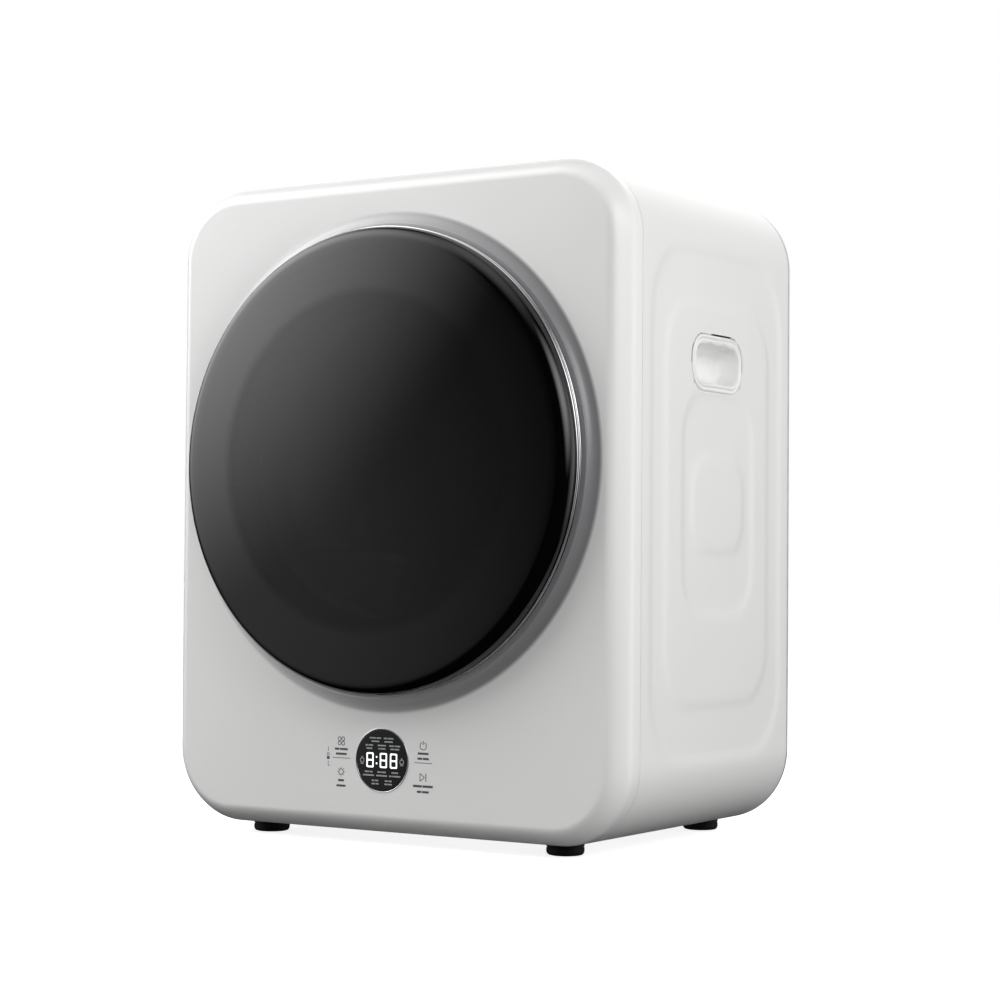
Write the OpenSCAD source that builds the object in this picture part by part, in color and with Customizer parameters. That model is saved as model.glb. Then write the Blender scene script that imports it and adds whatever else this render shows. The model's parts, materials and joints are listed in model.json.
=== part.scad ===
// Compact vented clothes dryer with a round domed glass door.
// X runs to the right, Y to the back and Z up, with Z = 0 on the floor under the feet.
// Depths (names ending in _d) are measured backwards from the flat front face.

/* [Cabinet] */
// Width of the cabinet
body_w = 495; // [485:1:620]
// Height of the cabinet without its feet
body_h = 602; // [590:1:740]
// Depth from the flat front face to the rear face
body_d = 330; // [320:1:420]
// Corner radius seen from the front
corner_r = 70; // [56:1:84]
// Thickness of the steel sheet
sheet = 1.2; // [0.8:0.1:2]
// Height that the drum and door centre sits above the cabinet centre
drum_rise = 36.5; // [20:0.5:40]
// Depth of the pressed steps in the side walls
press_depth = 0.8; // [0.4:0.1:1.5]

/* [Front panel] */
// Depth of the front panel, up to the seam with the sleeve
panel_d = 34; // [30:1:36]
// Wall of the moulded front panel
panel_wall = 2.5; // [2:0.1:3]
// Radius of the rounded front edge
crown_r = 18; // [12:1:24]
// Height of the raised collar round the door
collar_h = 8; // [6:0.5:9]
// Radius of the hollow flare at the foot of the collar
collar_flare = 13.5; // [12:0.5:16]

/* [Door] */
// Outer radius of the chrome trim ring
door_r = 213; // [205:1:216]
// Height of the glass dome in front of the flat face
dome_h = 45; // [40:1:54]
// Distance from the flat face to the rim of the glass
rim_h = 17; // [16:0.5:20]
// Radius of the rolled edge of the glass
glass_roll = 7; // [5:0.5:9]
// Thickness of the door glass
glass_t = 4; // [3:0.5:5]
// Thickness of the trim ring, front to back
trim_t = 8; // [6:0.5:8]
// Radius of the window bowl in the door
bowl_r = 142; // [120:1:145]
// Reach of the bowl behind the flat face
bowl_d = 20; // [14:1:21]
// Wall of the moulded door parts
door_wall = 2.5; // [2:0.1:3]

/* [Hinge] */
// Distance from the door rim to the hinge axis
hinge_in = 6.5; // [6:0.5:8]
// Radius of the hinge knuckles
knuckle_r = 4.2; // [3.8:0.1:4.4]
// Radius of the hinge pin
pin_r = 2; // [1.5:0.1:2.5]
// Half height of the fixed knuckle
knuckle_h = 10; // [8:0.5:12]

/* [Drum] */
// Outer radius of the drum
drum_r = 205; // [180:1:208]
// Distance from the flat face to the drum front
drum_d = 42; // [40:1:50]
// Space between the drum and the rear face
rear_space = 78; // [74:1:90]
// Radius of the drum mouth
mouth_r = 153; // [150:1:158]
// Radius of one air hole in the drum back
air_hole_r = 4; // [3:0.5:5]
// Height of the lifters
lifter_h = 34; // [25:1:45]
// Radius of the drum shaft
shaft_r = 10; // [8:0.5:12]
// Radius of the front support rollers
roller_r = 18; // [14:1:22]

/* [Drive] */
// Sideways place of the motor axis
motor_x = -80; // [-90:1:-75]
// Height of the motor axis above the base plate
motor_rise = 66; // [62:1:72]
// Radius of the motor
motor_r = 44; // [38:1:46]
// Length of the motor
motor_len = 90; // [70:1:100]
// Radius of the motor pulley
pulley_r = 12; // [10:1:16]
// Width of the belt
belt_w = 12; // [8:1:16]

/* [Air path] */
// Radius of the vent outlet
vent_r = 50; // [40:1:52]
// Reach of the vent outlet behind the rear face
vent_out = 20; // [14:1:30]
// Radius of the blower wheel
blower_r = 50; // [40:1:54]
// Half width of the lint filter
filter_w = 70; // [50:1:80]

/* [Controls] */
// Radius of the display window
display_r = 28; // [24:1:34]
// Distance of the display centre below the cabinet centre
display_drop = 234; // [230:1:236]

/* [Handles and feet] */
// Length of the hand grip opening
grip_l = 98; // [90:1:120]
// Height of the hand grip opening
grip_h = 52; // [46:1:60]
// Depth of the hand grip
grip_depth = 24; // [18:1:28]
// Height of the hand grip above the cabinet centre
grip_rise = 128.5; // [110:0.5:140]
// Height of the rubber feet
foot_h = 11; // [8:1:20]
// Radius of the rubber feet
foot_r = 17; // [14:1:19]

/* [Clearances] */
// Gap between covers
cover_gap = 0.6; // [0.3:0.1:1]
// Radial gap of a running fit
run_fit = 0.05; // [0.02:0.01:0.1]
// Gap between pieces that pass each other
pass_gap = 0.3; // [0.2:0.1:0.5]

/* [Hidden] */
$fn = 96;
eps = 1;

// Places
face_y = (dome_h - body_d - vent_out) / 2;
body_z = foot_h + body_h / 2;
drum_z = body_z + drum_rise;
floor_z = foot_h + sheet;
base_t = 2;
deck_z = floor_z + base_t;

// Front panel and door
shell_front_d = panel_d + cover_gap;
wall_inset = sheet + press_depth + pass_gap;
edge_r = 3.6;
rear_rim = 6;
shell_rear_d = body_d - rear_rim;
collar_r = door_r + 16;
mouth_lip_r = door_r - 7;
trim_groove = 0.6;
glass_r = door_r - 1;
dome_rise = dome_h - rim_h - glass_roll;
dome_edge_r = glass_r - glass_roll;
dome_R = (pow(dome_edge_r, 2) + pow(dome_rise, 2)) / (2 * dome_rise);
frame_r = mouth_lip_r - door_wall - 1.5;
frame_back_d = -3;
bezel_floor_d = 5;
throat_r = bowl_r + 4;
throat_wall = 3;

// Hinge, on the left
hinge_x = -(door_r - hinge_in);
hinge_d = -rim_h + knuckle_r + 0.6;
leaf_top = 2 * knuckle_h;
hinge_gap = 0.4;
arm_t = 4;
arm_x = hinge_x + 5.5;
flange_len = 34;
pocket_h = 58;
swing_r = norm([hinge_in - 1 - glass_roll, rim_h + hinge_d]) + glass_roll + pass_gap;

// Drum
drum_t = 1.2;
drum_rear_d = body_d - rear_space;
back_bulkhead_d = drum_rear_d + 10;
bulkhead_d = drum_d - 6;
bearing_len = 26;
felt_t = mouth_r - throat_r - throat_wall - 0.4;
roller_angle = 38;
roller_w = 16;
roller_d = drum_d + 18;
axle_r = 4;
roller_c = drum_r + roller_r + pass_gap;

// Drive
motor_z = deck_z + motor_rise;
blower_d = back_bulkhead_d + 2;
motor_d = blower_d - 32 - motor_len - 17;
belt_t = 2;
belt_d = motor_d - 26;
rotor_r = 5;
belt_in = 0.4;
belt_R = drum_r + belt_in;
belt_rp = pulley_r + belt_in;
belt_span = norm([motor_x, motor_z - drum_z]);
belt_lean = acos((belt_R - belt_rp) / belt_span);
belt_heading = atan2(motor_z - drum_z, motor_x);

// Air path
duct_wall = 2;
duct_front_d = bulkhead_d - 16;
duct_x0 = 5;
duct_x1 = 120;
duct_top = deck_z + 84;
filter_t = 9;
filter_d = bulkhead_d - 12;
filter_h = 92;
chamber_d = blower_d - 26;
blower_len = 34;
scroll_r = blower_r + 10;
outlet_w = 2 * vent_r + 14;
vent_x = motor_x + scroll_r + outlet_w / 2;
vent_z = motor_z;
heater_w = 120;
heater_h = 110;
heater_x = 95;
heater_z = drum_z + 90;
heater_d0 = back_bulkhead_d + sheet;
heater_d1 = body_d - 8;

// Controls, feet and rear
display_z = body_z - display_drop;
foot_x = body_w / 2 - 83.5;
foot_front_d = 50;
foot_rear_d = body_d - 23.5;
screw_r = 2;
bracket_x = 160;
bracket_z = 150;

// ---- helpers ----

// Frame on an axis that runs backwards from the flat face; local Z is the depth, local Y points down
module on_axis(x, z) translate([x, face_y, z]) rotate([-90, 0, 0]) children();

// Tube or disc between two depths
module ring(r_in, r_out, d0, d1) {
    translate([0, 0, d0]) difference() {
        cylinder(h = d1 - d0, r = r_out);
        if (r_in > 0)
            translate([0, 0, -eps]) cylinder(h = d1 - d0 + 2 * eps, r = r_in);
    }
}

// Rod between two depths
module rod(r, d0, d1) translate([0, 0, d0]) cylinder(h = d1 - d0, r = r);

// Box between two corners given as x, depth, z
module block(x0, x1, d0, d1, z0, z1)
    translate([x0, face_y + d0, z0]) cube([x1 - x0, d1 - d0, z1 - z0]);

// Rectangle with true round corners
module outline(w, h, r) {
    square([w - 2 * r, h], center = true);
    square([w, h - 2 * r], center = true);
    for (sx = [-1, 1], sy = [-1, 1])
        translate([sx * (w / 2 - r), sy * (h / 2 - r)]) circle(r = r);
}

// Slice of the cabinet section between two depths
module slab(inset, d0, d1)
    on_axis(0, body_z) translate([0, 0, d0]) linear_extrude(d1 - d0)
        outline(body_w - 2 * inset, body_h - 2 * inset, corner_r - inset);

// Quarter of a disc, for rounded edges
module quarter(c) intersection() {
    circle(r = c);
    translate([0, -c]) square(c);
}

// Rounded edge that runs round the cabinet section, from depth 0 forwards
module edge_roll(inset, c) {
    w = body_w - 2 * inset;
    h = body_h - 2 * inset;
    r = corner_r - inset;
    for (k = [0:3]) rotate(90 * k) {
        span = k % 2 == 0 ? w : h;
        run = k % 2 == 0 ? h : w;
        translate([span / 2 - c, 0, 0]) rotate([90, 0, 0])
            linear_extrude(run - 2 * r, center = true) quarter(c);
        translate([span / 2 - r, run / 2 - r, 0])
            rotate_extrude(angle = 90) translate([r - c, 0]) quarter(c);
    }
}

// Slice of the cabinet with a rounded front edge
module crowned_front(inset, d0, d1, c) {
    slab(inset, d0 + c, d1);
    slab(inset + c, d0, d0 + c);
    on_axis(0, body_z) translate([0, 0, d0 + c]) edge_roll(inset, c);
}

// Slice of the cabinet with a rounded rear edge
module crowned_rear(inset, d0, d1, c) {
    slab(inset, d0, d1 - c);
    slab(inset + c, d1 - c, d1);
    on_axis(0, body_z) translate([0, 0, d1 - c]) rotate([180, 0, 0]) edge_roll(inset, c);
}

// Right side wall: local X runs back, local Y up, local Z outwards, origin on the wall
module right_wall(d, z) translate([body_w / 2, face_y + d, z]) rotate([90, 0, 90]) children();

// Both side walls
module both_walls(d, z) {
    right_wall(d, z) children();
    mirror([1, 0, 0]) right_wall(d, z) children();
}

// Places of the four feet
module at_feet() for (sx = [-1, 1], d = [foot_front_d, foot_rear_d])
    translate([sx * foot_x, face_y + d, 0]) children();

// ---- cabinet ----

module collar_profile() {
    difference() {
        intersection() {
            translate([collar_r, -collar_flare]) circle(r = collar_flare + panel_wall);
            translate([mouth_lip_r, -collar_h]) square([collar_r - mouth_lip_r, collar_h + panel_wall]);
        }
        translate([collar_r, -collar_flare]) circle(r = collar_flare);
    }
    translate([mouth_lip_r, -collar_h]) square([9, panel_wall]);
}

// Room round the hinge axis for the rolled edge of the glass as the door swings
module swing_room() translate([hinge_x, face_y + hinge_d, drum_z - pocket_h])
    cylinder(h = 2 * pocket_h, r = swing_r);

module front_panel() color("white") difference() {
    union() {
        difference() {
            crowned_front(0, 0, panel_d, crown_r);
            crowned_front(panel_wall, panel_wall, panel_d + eps, crown_r - panel_wall);
            on_axis(0, drum_z) rod(collar_r, -eps, panel_d);
        }
        on_axis(0, drum_z) rotate_extrude() collar_profile();
    }
    swing_room();
    on_axis(0, display_z) rod(display_r + 1.2, -eps, panel_wall + eps);
}

// Rounded rectangles of the pressed side steps, from the outermost inwards
press_in_d = [18, 43.5, 76.5, 94];
press_in_z = [71, 118.5, 201.5, 257.5];
press_corner = [64, 50, 40, 30];
module press_outline(k)
    outline(shell_rear_d - shell_front_d - 2 * press_in_d[k], body_h - 2 * press_in_z[k], press_corner[k]);

// The two sunk bands of a side wall
module press_bands() for (k = [0, 2]) difference() {
    press_outline(k);
    press_outline(k + 1);
}

module cabinet_shell() color("white") difference() {
    mid_d = (shell_front_d + shell_rear_d) / 2;
    union() {
        difference() {
            slab(0, shell_front_d, shell_rear_d);
            slab(sheet, shell_front_d - eps, shell_rear_d + eps);
        }
        both_walls(mid_d, body_z) translate([0, 0, -sheet - press_depth])
            linear_extrude(sheet) press_bands();
    }
    both_walls(mid_d, body_z) translate([0, 0, -press_depth]) linear_extrude(press_depth + eps) press_bands();
    both_walls(grip_mid_d, body_z + grip_rise) translate([0, 0, -5])
        linear_extrude(10) outline(grip_l - 6, grip_h - 6, grip_h / 2 - 5);
    at_feet() translate([0, 0, foot_h - eps]) cylinder(h = sheet + 2 * eps, r = screw_r);
}

grip_mid_d = (shell_front_d + shell_rear_d) / 2 - 4;
module grip_cup() right_wall(grip_mid_d, body_z + grip_rise) difference() {
    wall = 2;
    corner = grip_h / 2 - 4;
    union() {
        linear_extrude(1) outline(grip_l, grip_h, corner);
        translate([0, 0, -grip_depth]) linear_extrude(grip_depth + 0.5)
            outline(grip_l - 6, grip_h - 6, corner - 1);
    }
    translate([0, 0, wall - grip_depth]) linear_extrude(grip_depth + 2)
        outline(grip_l - 6 - 2 * wall, grip_h - 6 - 2 * wall, corner - 1 - wall);
}
module handle_cup_right() color("white") grip_cup();
module handle_cup_left() color("white") mirror([1, 0, 0]) grip_cup();

// Holes along the edge of the rear cover
module at_rear_screws() {
    for (sx = [-1, 1], z = [-0.55, 0, 0.55])
        on_axis(sx * (body_w / 2 - 9), body_z + z * body_h / 2) children();
    for (sx = [-1, 1], sz = [-1, 1])
        on_axis(sx * body_w / 5, body_z + sz * (body_h / 2 - 9)) children();
}
module at_bracket() for (sx = [-1, 1], sz = [-1, 1])
    on_axis(sx * bracket_x, body_z + sz * bracket_z) children();

louvre_n = 9;
module rear_cover() color("gainsboro") difference() {
    union() {
        difference() {
            crowned_rear(0, shell_rear_d, body_d, edge_r);
            crowned_rear(sheet, shell_rear_d - eps, body_d - sheet, edge_r - sheet);
        }
        difference() {
            slab(sheet, shell_rear_d - 12, body_d - edge_r);
            slab(2 * sheet, shell_rear_d - 13, body_d - edge_r + eps);
        }
    }
    on_axis(vent_x, vent_z) rod(vent_r - 1.5, body_d - 5, body_d + 1);
    on_axis(cord_x, cord_z) rod(9, body_d - 5, body_d + 1);
    at_rear_screws() rod(screw_r, body_d - 5, body_d + 1);
    at_bracket() rod(5, body_d - 5, body_d + 1);
    for (k = [0:louvre_n - 1])
        block(heater_x - 42, heater_x + 42, body_d - 5, body_d + 1,
            heater_z - 40 + 10 * k, heater_z - 36 + 10 * k);
}
module rear_screws() color("silver") at_rear_screws() {
    rod(screw_r, body_d - 10, body_d);
    rod(4, body_d, body_d + 2);
}
module wall_bracket_nuts() color("silver") at_bracket() {
    ring(3, 5, body_d - 12, body_d);
    ring(3, 7, body_d, body_d + 1);
}

module base_plate() color("silver") difference() {
    block(-(body_w / 2 - corner_r - 2), body_w / 2 - corner_r - 2, shell_front_d + 4, shell_rear_d - 14,
        floor_z, deck_z);
    at_feet() translate([0, 0, floor_z - eps]) cylinder(h = base_t + 2 * eps, r = screw_r);
}

module foot(sx, d) color([0.1, 0.1, 0.1]) translate([sx * foot_x, face_y + d, 0]) difference() {
    roll = 3;
    rotate_extrude() {
        square([foot_r - roll, foot_h]);
        translate([0, roll]) square([foot_r, foot_h - roll]);
        translate([foot_r - roll, roll]) circle(r = roll);
    }
    translate([0, 0, 4]) cylinder(h = foot_h, r = screw_r);
}
module foot_front_left() foot(-1, foot_front_d);
module foot_front_right() foot(1, foot_front_d);
module foot_rear_left() foot(-1, foot_rear_d);
module foot_rear_right() foot(1, foot_rear_d);
module foot_screws() color("silver") at_feet() {
    translate([0, 0, 4]) cylinder(h = deck_z - 4, r = screw_r);
    translate([0, 0, deck_z]) cylinder(h = 2.5, r = 4.5);
}

module front_bulkhead() color("lightgrey") difference() {
    slab(wall_inset, bulkhead_d, bulkhead_d + sheet);
    on_axis(0, drum_z) rod(throat_r + throat_wall + pass_gap, bulkhead_d - eps, bulkhead_d + sheet + eps);
    block(duct_x0 - pass_gap, duct_x1 + pass_gap, bulkhead_d - eps, bulkhead_d + sheet + eps,
        deck_z, duct_top + pass_gap);
    for (s = [-1, 1]) roller_place(s) rod(axle_r, bulkhead_d - eps, bulkhead_d + sheet + eps);
}

module rear_bulkhead() color("lightgrey") difference() {
    slab(wall_inset, back_bulkhead_d, back_bulkhead_d + sheet);
    block(-body_w, body_w, back_bulkhead_d - eps, back_bulkhead_d + sheet + eps, 0, motor_z + scroll_r + 8);
    on_axis(0, drum_z) rod(shaft_r + 14, back_bulkhead_d - eps, back_bulkhead_d + sheet + eps);
    block(heater_x - heater_w / 2 + 4, heater_x + heater_w / 2 - 4, back_bulkhead_d - eps,
        back_bulkhead_d + sheet + eps, heater_z - heater_h / 2 + 4, heater_z + heater_h / 2 - 4);
}

// Slot in the throat that the lint filter slides through
module filter_slot(grow) block(-filter_w - grow, filter_w + grow, filter_d - grow, filter_d + filter_t + grow,
    drum_z - throat_r - throat_wall - 40, drum_z - throat_r / 2);

module door_bezel() color("gainsboro") difference() {
    on_axis(0, drum_z) {
        ring(mouth_lip_r - door_wall, mouth_lip_r, -collar_h + panel_wall, bezel_floor_d + door_wall);
        ring(throat_r, mouth_lip_r, bezel_floor_d, bezel_floor_d + door_wall);
        ring(throat_r, throat_r + throat_wall, bezel_floor_d, drum_d + 4);
    }
    swing_room();
    filter_slot(1);
    for (s = [-1, 1]) hinge_screw(s) rod(screw_r, bezel_floor_d - 3, bezel_floor_d + 8);
    on_axis(magnet_x, drum_z) rod(screw_r, bezel_floor_d - 3, bezel_floor_d + 8);
}

// ---- door ----

module glass_profile() {
    intersection() {
        difference() {
            translate([0, dome_R - dome_h]) circle(r = dome_R, $fn = 360);
            translate([0, dome_R - dome_h]) circle(r = dome_R - glass_t, $fn = 360);
        }
        translate([0, -dome_h - eps]) square([dome_edge_r, dome_h - rim_h + eps]);
    }
    intersection() {
        difference() {
            translate([dome_edge_r, -rim_h]) circle(r = glass_roll);
            translate([dome_edge_r, -rim_h]) circle(r = glass_roll - glass_t);
        }
        translate([dome_edge_r, -rim_h - glass_roll]) square(glass_roll);
    }
}
module door_glass() color([0.08, 0.08, 0.09]) on_axis(0, drum_z) rotate_extrude() glass_profile();

// Opening behind the left rim for the hinge knuckles
module hinge_notch() on_axis(0, drum_z) {
    translate([hinge_x - knuckle_r - 0.4, -leaf_top - 0.5, -rim_h + 0.2]) cube([22, 2 * leaf_top + 1, rim_h + 4]);
    translate([-door_r - 4, -knuckle_h - 0.6, hinge_d - 0.4]) cube([26, 2 * knuckle_h + 1.2, rim_h]);
}

// Square section with a shallow groove round its outer edge
module door_trim_ring() color("silver") difference() {
    on_axis(0, drum_z) {
        ring(frame_r, door_r - trim_groove, -rim_h, trim_t - rim_h);
        ring(frame_r, door_r, -rim_h, trim_t / 2 - trim_groove - rim_h);
        ring(frame_r, door_r, trim_t / 2 + trim_groove - rim_h, trim_t - rim_h);
    }
    hinge_notch();
}

module door_frame() color([0.12, 0.12, 0.12]) difference() {
    on_axis(0, drum_z) {
        ring(frame_r - door_wall, frame_r, -rim_h, frame_back_d);
        ring(bowl_r + 1, frame_r, frame_back_d - door_wall, frame_back_d);
        ring(frame_r - 14, frame_r, -rim_h, -rim_h + door_wall);
    }
    hinge_notch();
    for (s = [-1, 1]) leaf_screw(s) rod(screw_r, -rim_h, 0);
}

module bowl_profile() {
    wall = 3;
    translate([bowl_r - 8, frame_back_d - door_wall - wall]) square([18, wall]);
    translate([bowl_r - wall, frame_back_d - door_wall - wall])
        square([wall, bowl_d - 4 - frame_back_d + door_wall + wall]);
    translate([0, bowl_d - wall]) square([bowl_r - 4, wall]);
    intersection() {
        translate([bowl_r - 4, bowl_d - 4]) circle(r = 4);
        translate([bowl_r - 4, bowl_d - 4]) square(4);
    }
}
module door_bowl() color([0.6, 0.65, 0.68]) on_axis(0, drum_z) rotate_extrude() bowl_profile();

module door_gasket() color([0.2, 0.2, 0.2]) on_axis(0, drum_z) {
    ring(bowl_r + 10, bowl_r + 18, frame_back_d, 0);
    ring(bowl_r + 12, bowl_r + 16, 0, bezel_floor_d - pass_gap);
}

module leaf_screw(s) on_axis(hinge_x + 38, drum_z + s * 13) children();
module door_hinge_leaf() color("silver") difference() {
    union() {
        for (s = [-1, 1]) {
            z0 = s > 0 ? drum_z + knuckle_h + hinge_gap : drum_z - leaf_top;
            translate([hinge_x, face_y + hinge_d, z0])
                cylinder(h = leaf_top - knuckle_h - hinge_gap, r = knuckle_r);
            block(hinge_x, hinge_x + 26, hinge_d - 1.5, hinge_d + 1.5, z0, z0 + leaf_top - knuckle_h - hinge_gap);
        }
        block(hinge_x + 22, hinge_x + 26, hinge_d - 1.5, frame_back_d - door_wall, drum_z - leaf_top,
            drum_z + leaf_top);
        block(hinge_x + 22, hinge_x + 46, frame_back_d - door_wall - 3, frame_back_d - door_wall,
            drum_z - leaf_top, drum_z + leaf_top);
    }
    translate([hinge_x, face_y + hinge_d, drum_z - leaf_top - eps])
        cylinder(h = 2 * leaf_top + 2 * eps, r = pin_r + run_fit);
    for (s = [-1, 1]) leaf_screw(s) rod(screw_r, -rim_h, 0);
}
module door_hinge_pin() color("silver") translate([hinge_x, face_y + hinge_d, drum_z - leaf_top])
    cylinder(h = 2 * leaf_top, r = pin_r);

module hinge_screw(s) on_axis(arm_x + 20, drum_z + s * 18) children();
module door_hinge_bracket() color("silver") difference() {
    union() {
        translate([hinge_x, face_y + hinge_d, drum_z - knuckle_h]) cylinder(h = 2 * knuckle_h, r = knuckle_r);
        block(hinge_x, arm_x + arm_t, hinge_d - 2, hinge_d + 2, drum_z - knuckle_h, drum_z + knuckle_h);
        block(arm_x, arm_x + arm_t, hinge_d - 2, bezel_floor_d, drum_z - knuckle_h, drum_z + knuckle_h);
        block(arm_x, arm_x + flange_len, bezel_floor_d - 3, bezel_floor_d, drum_z - 25, drum_z + 25);
    }
    translate([hinge_x, face_y + hinge_d, drum_z - leaf_top]) cylinder(h = 2 * leaf_top, r = pin_r);
    for (s = [-1, 1]) hinge_screw(s) rod(screw_r, bezel_floor_d - 5, bezel_floor_d + 1);
}

magnet_x = frame_r - 24;
module door_striker() color("silver")
    block(magnet_x - 9, magnet_x + 9, frame_back_d, frame_back_d + 2, drum_z - 15, drum_z + 15);
module door_magnet() color([0.3, 0.3, 0.3])
    block(magnet_x - 9, magnet_x + 9, frame_back_d + 2 + pass_gap, bezel_floor_d, drum_z - 15, drum_z + 15);
module door_switch() color([0.2, 0.2, 0.2])
    block(magnet_x - 8, magnet_x + 8, bezel_floor_d + door_wall, bezel_floor_d + door_wall + 12,
        drum_z + 20, drum_z + 48);
module door_screws() color("silver") for (s = [-1, 1]) leaf_screw(s) {
    rod(screw_r, frame_back_d - door_wall - 3, frame_back_d);
    rod(3.5, frame_back_d, frame_back_d + 1.6);
}

// ---- controls ----

module display_window() color([0.03, 0.03, 0.03]) on_axis(0, display_z) rod(display_r, -0.4, panel_wall - 0.5);
module display_ring() color("silver") on_axis(0, display_z) ring(display_r, display_r + 1.2, -0.6, panel_wall);
module control_board() color("darkgreen") {
    block(-75, 75, 6, 7.6, display_z - 30, display_z + 34);
    block(-24, 24, panel_wall + 0.5, 6, display_z - 12, display_z + 12);
    for (sx = [-1, 1], z = [16, -14])
        on_axis(sx * 46, display_z + z) rod(6, panel_wall, 6);
}
board_x = motor_x - 70;
module power_board() color("darkgreen") {
    block(board_x, board_x + 65, 48, 128, deck_z + 4, deck_z + 5.6);
    block(board_x + 5, board_x + 37, 56, 92, deck_z + 5.6, deck_z + 34);
    block(board_x + 43, board_x + 59, 60, 76, deck_z + 5.6, deck_z + 26);
    for (x = [board_x + 5, board_x + 60], d = [53, 123])
        translate([x, face_y + d, deck_z]) cylinder(h = 4, r = 3);
}

// ---- drum ----

module drum_shell() color("silver") on_axis(0, drum_z) {
    ring(drum_r - drum_t, drum_r, drum_d, drum_rear_d);
    ring(mouth_r, drum_r, drum_d, drum_d + drum_t);
    ring(mouth_r, mouth_r + drum_t, drum_d, drum_d + 10);
}

// Air holes in rows round the drum back, in sectors with plain spokes between them
hole_rows = [52, 66, 80, 94, 108, 122];
sectors = 6;
module air_holes() for (row = hole_rows) {
    count = floor((360 / sectors - 14) * row * PI / 180 / 14);
    step = (360 / sectors - 14) / count;
    for (k = [0:sectors - 1], j = [0:count - 1])
        rotate(k * 360 / sectors + 7 + (j + 0.5) * step) translate([row, 0, drum_rear_d - eps])
            cylinder(h = 4, r = air_hole_r);
}
module drum_back() color("silver") on_axis(0, drum_z) difference() {
    ring(shaft_r, drum_r, drum_rear_d, drum_rear_d + drum_t);
    air_holes();
}

module lifter(k) on_axis(0, drum_z) rotate(120 * k + 30) intersection() {
    rod(drum_r - drum_t, drum_d + 14, drum_rear_d - 4);
    translate([0, 0, drum_d + 14]) linear_extrude(drum_rear_d - drum_d - 18) {
        translate([drum_r - lifter_h + 8, 0]) circle(r = 8.5);
        polygon([[drum_r - lifter_h + 7, -8], [drum_r - lifter_h + 7, 8], [drum_r, 30], [drum_r, -30]]);
    }
}
module drum_lifter_1() color("lightgrey") lifter(0);
module drum_lifter_2() color("lightgrey") lifter(1);
module drum_lifter_3() color("lightgrey") lifter(2);

module drum_hub() color("grey") on_axis(0, drum_z) {
    ring(shaft_r, 32, drum_rear_d + drum_t, drum_rear_d + drum_t + 5);
    for (k = [0:sectors - 1]) rotate(k * 360 / sectors)
        translate([30, -5, drum_rear_d + drum_t]) cube([drum_r - 34, 10, 3]);
}
module drum_shaft() color("silver") on_axis(0, drum_z) {
    rod(shaft_r, drum_rear_d - 3, back_bulkhead_d + bearing_len + 4);
    rod(shaft_r + 8, drum_rear_d - 6, drum_rear_d);
}
module drum_bearing() color("silver") on_axis(0, drum_z)
    ring(shaft_r + run_fit, shaft_r + 11, back_bulkhead_d + 4, back_bulkhead_d + bearing_len);
module bearing_housing() color("grey") on_axis(0, drum_z) {
    ring(shaft_r + 11, shaft_r + 14, back_bulkhead_d, back_bulkhead_d + bearing_len + 8);
    ring(shaft_r + 14, shaft_r + 30, back_bulkhead_d + sheet, back_bulkhead_d + sheet + 4);
    ring(0, shaft_r + 11, back_bulkhead_d + bearing_len + 5, back_bulkhead_d + bearing_len + 8);
}
module felt_ring() color("tan") on_axis(0, drum_z) difference() {
    ring(throat_r + throat_wall, throat_r + throat_wall + felt_t, drum_d - 3, drum_d + 4);
}

module roller_place(s) on_axis(s * roller_c * sin(roller_angle), drum_z - roller_c * cos(roller_angle)) children();
module roller(s) color([0.2, 0.2, 0.2]) roller_place(s)
    ring(axle_r + run_fit, roller_r, roller_d, roller_d + roller_w);
module front_roller_left() roller(-1);
module front_roller_right() roller(1);
module roller_axles() color("silver") for (s = [-1, 1]) roller_place(s) {
    rod(axle_r, bulkhead_d, roller_d + roller_w + 4);
    ring(0, axle_r + 5, bulkhead_d + sheet, bulkhead_d + sheet + 5);
    ring(0, axle_r + 3, roller_d + roller_w + 1, roller_d + roller_w + 3);
}

// ---- drive ----

// Part of a flat belt wrapped round a pulley, from angle a0 over a sweep
module belt_wrap(r, a0, sweep) rotate(a0) rotate_extrude(angle = sweep) translate([r, 0]) square([belt_t, belt_w]);
module drum_belt() color([0.15, 0.15, 0.15])
    translate([0, face_y + belt_d + belt_w, drum_z]) rotate([90, 0, 0]) rotate(belt_heading) {
        belt_wrap(belt_R, belt_lean, 360 - 2 * belt_lean);
        translate([belt_span, 0, 0]) belt_wrap(belt_rp, -belt_lean, 2 * belt_lean);
        run = belt_span * sin(belt_lean);
        for (s = [0, 1]) mirror([0, s, 0]) rotate(belt_lean)
            translate([belt_R, -run, 0]) cube([belt_t, run, belt_w]);
    }
module motor_housing() color("grey") on_axis(motor_x, motor_z) difference() {
    union() {
        rod(motor_r, motor_d + 8, motor_d + motor_len - 8);
        rod(motor_r - 8, motor_d, motor_d + motor_len);
    }
    rod(motor_r - 12, motor_d + 4, motor_d + motor_len - 4);
    rod(rotor_r + run_fit, motor_d - eps, motor_d + motor_len + eps);
}
module motor_shaft() color("silver") on_axis(motor_x, motor_z) {
    rod(rotor_r, belt_d - 4, blower_d + blower_len - 6);
    rod(motor_r - 16, motor_d + 12, motor_d + motor_len - 12);
}
module motor_pulley() color([0.3, 0.3, 0.3]) on_axis(motor_x, motor_z) {
    ring(rotor_r, pulley_r, belt_d - 1, belt_d + belt_w + 1);
    for (d = [belt_d - 3, belt_d + belt_w + 1]) ring(rotor_r, pulley_r + 4, d, d + 2);
}
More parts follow.
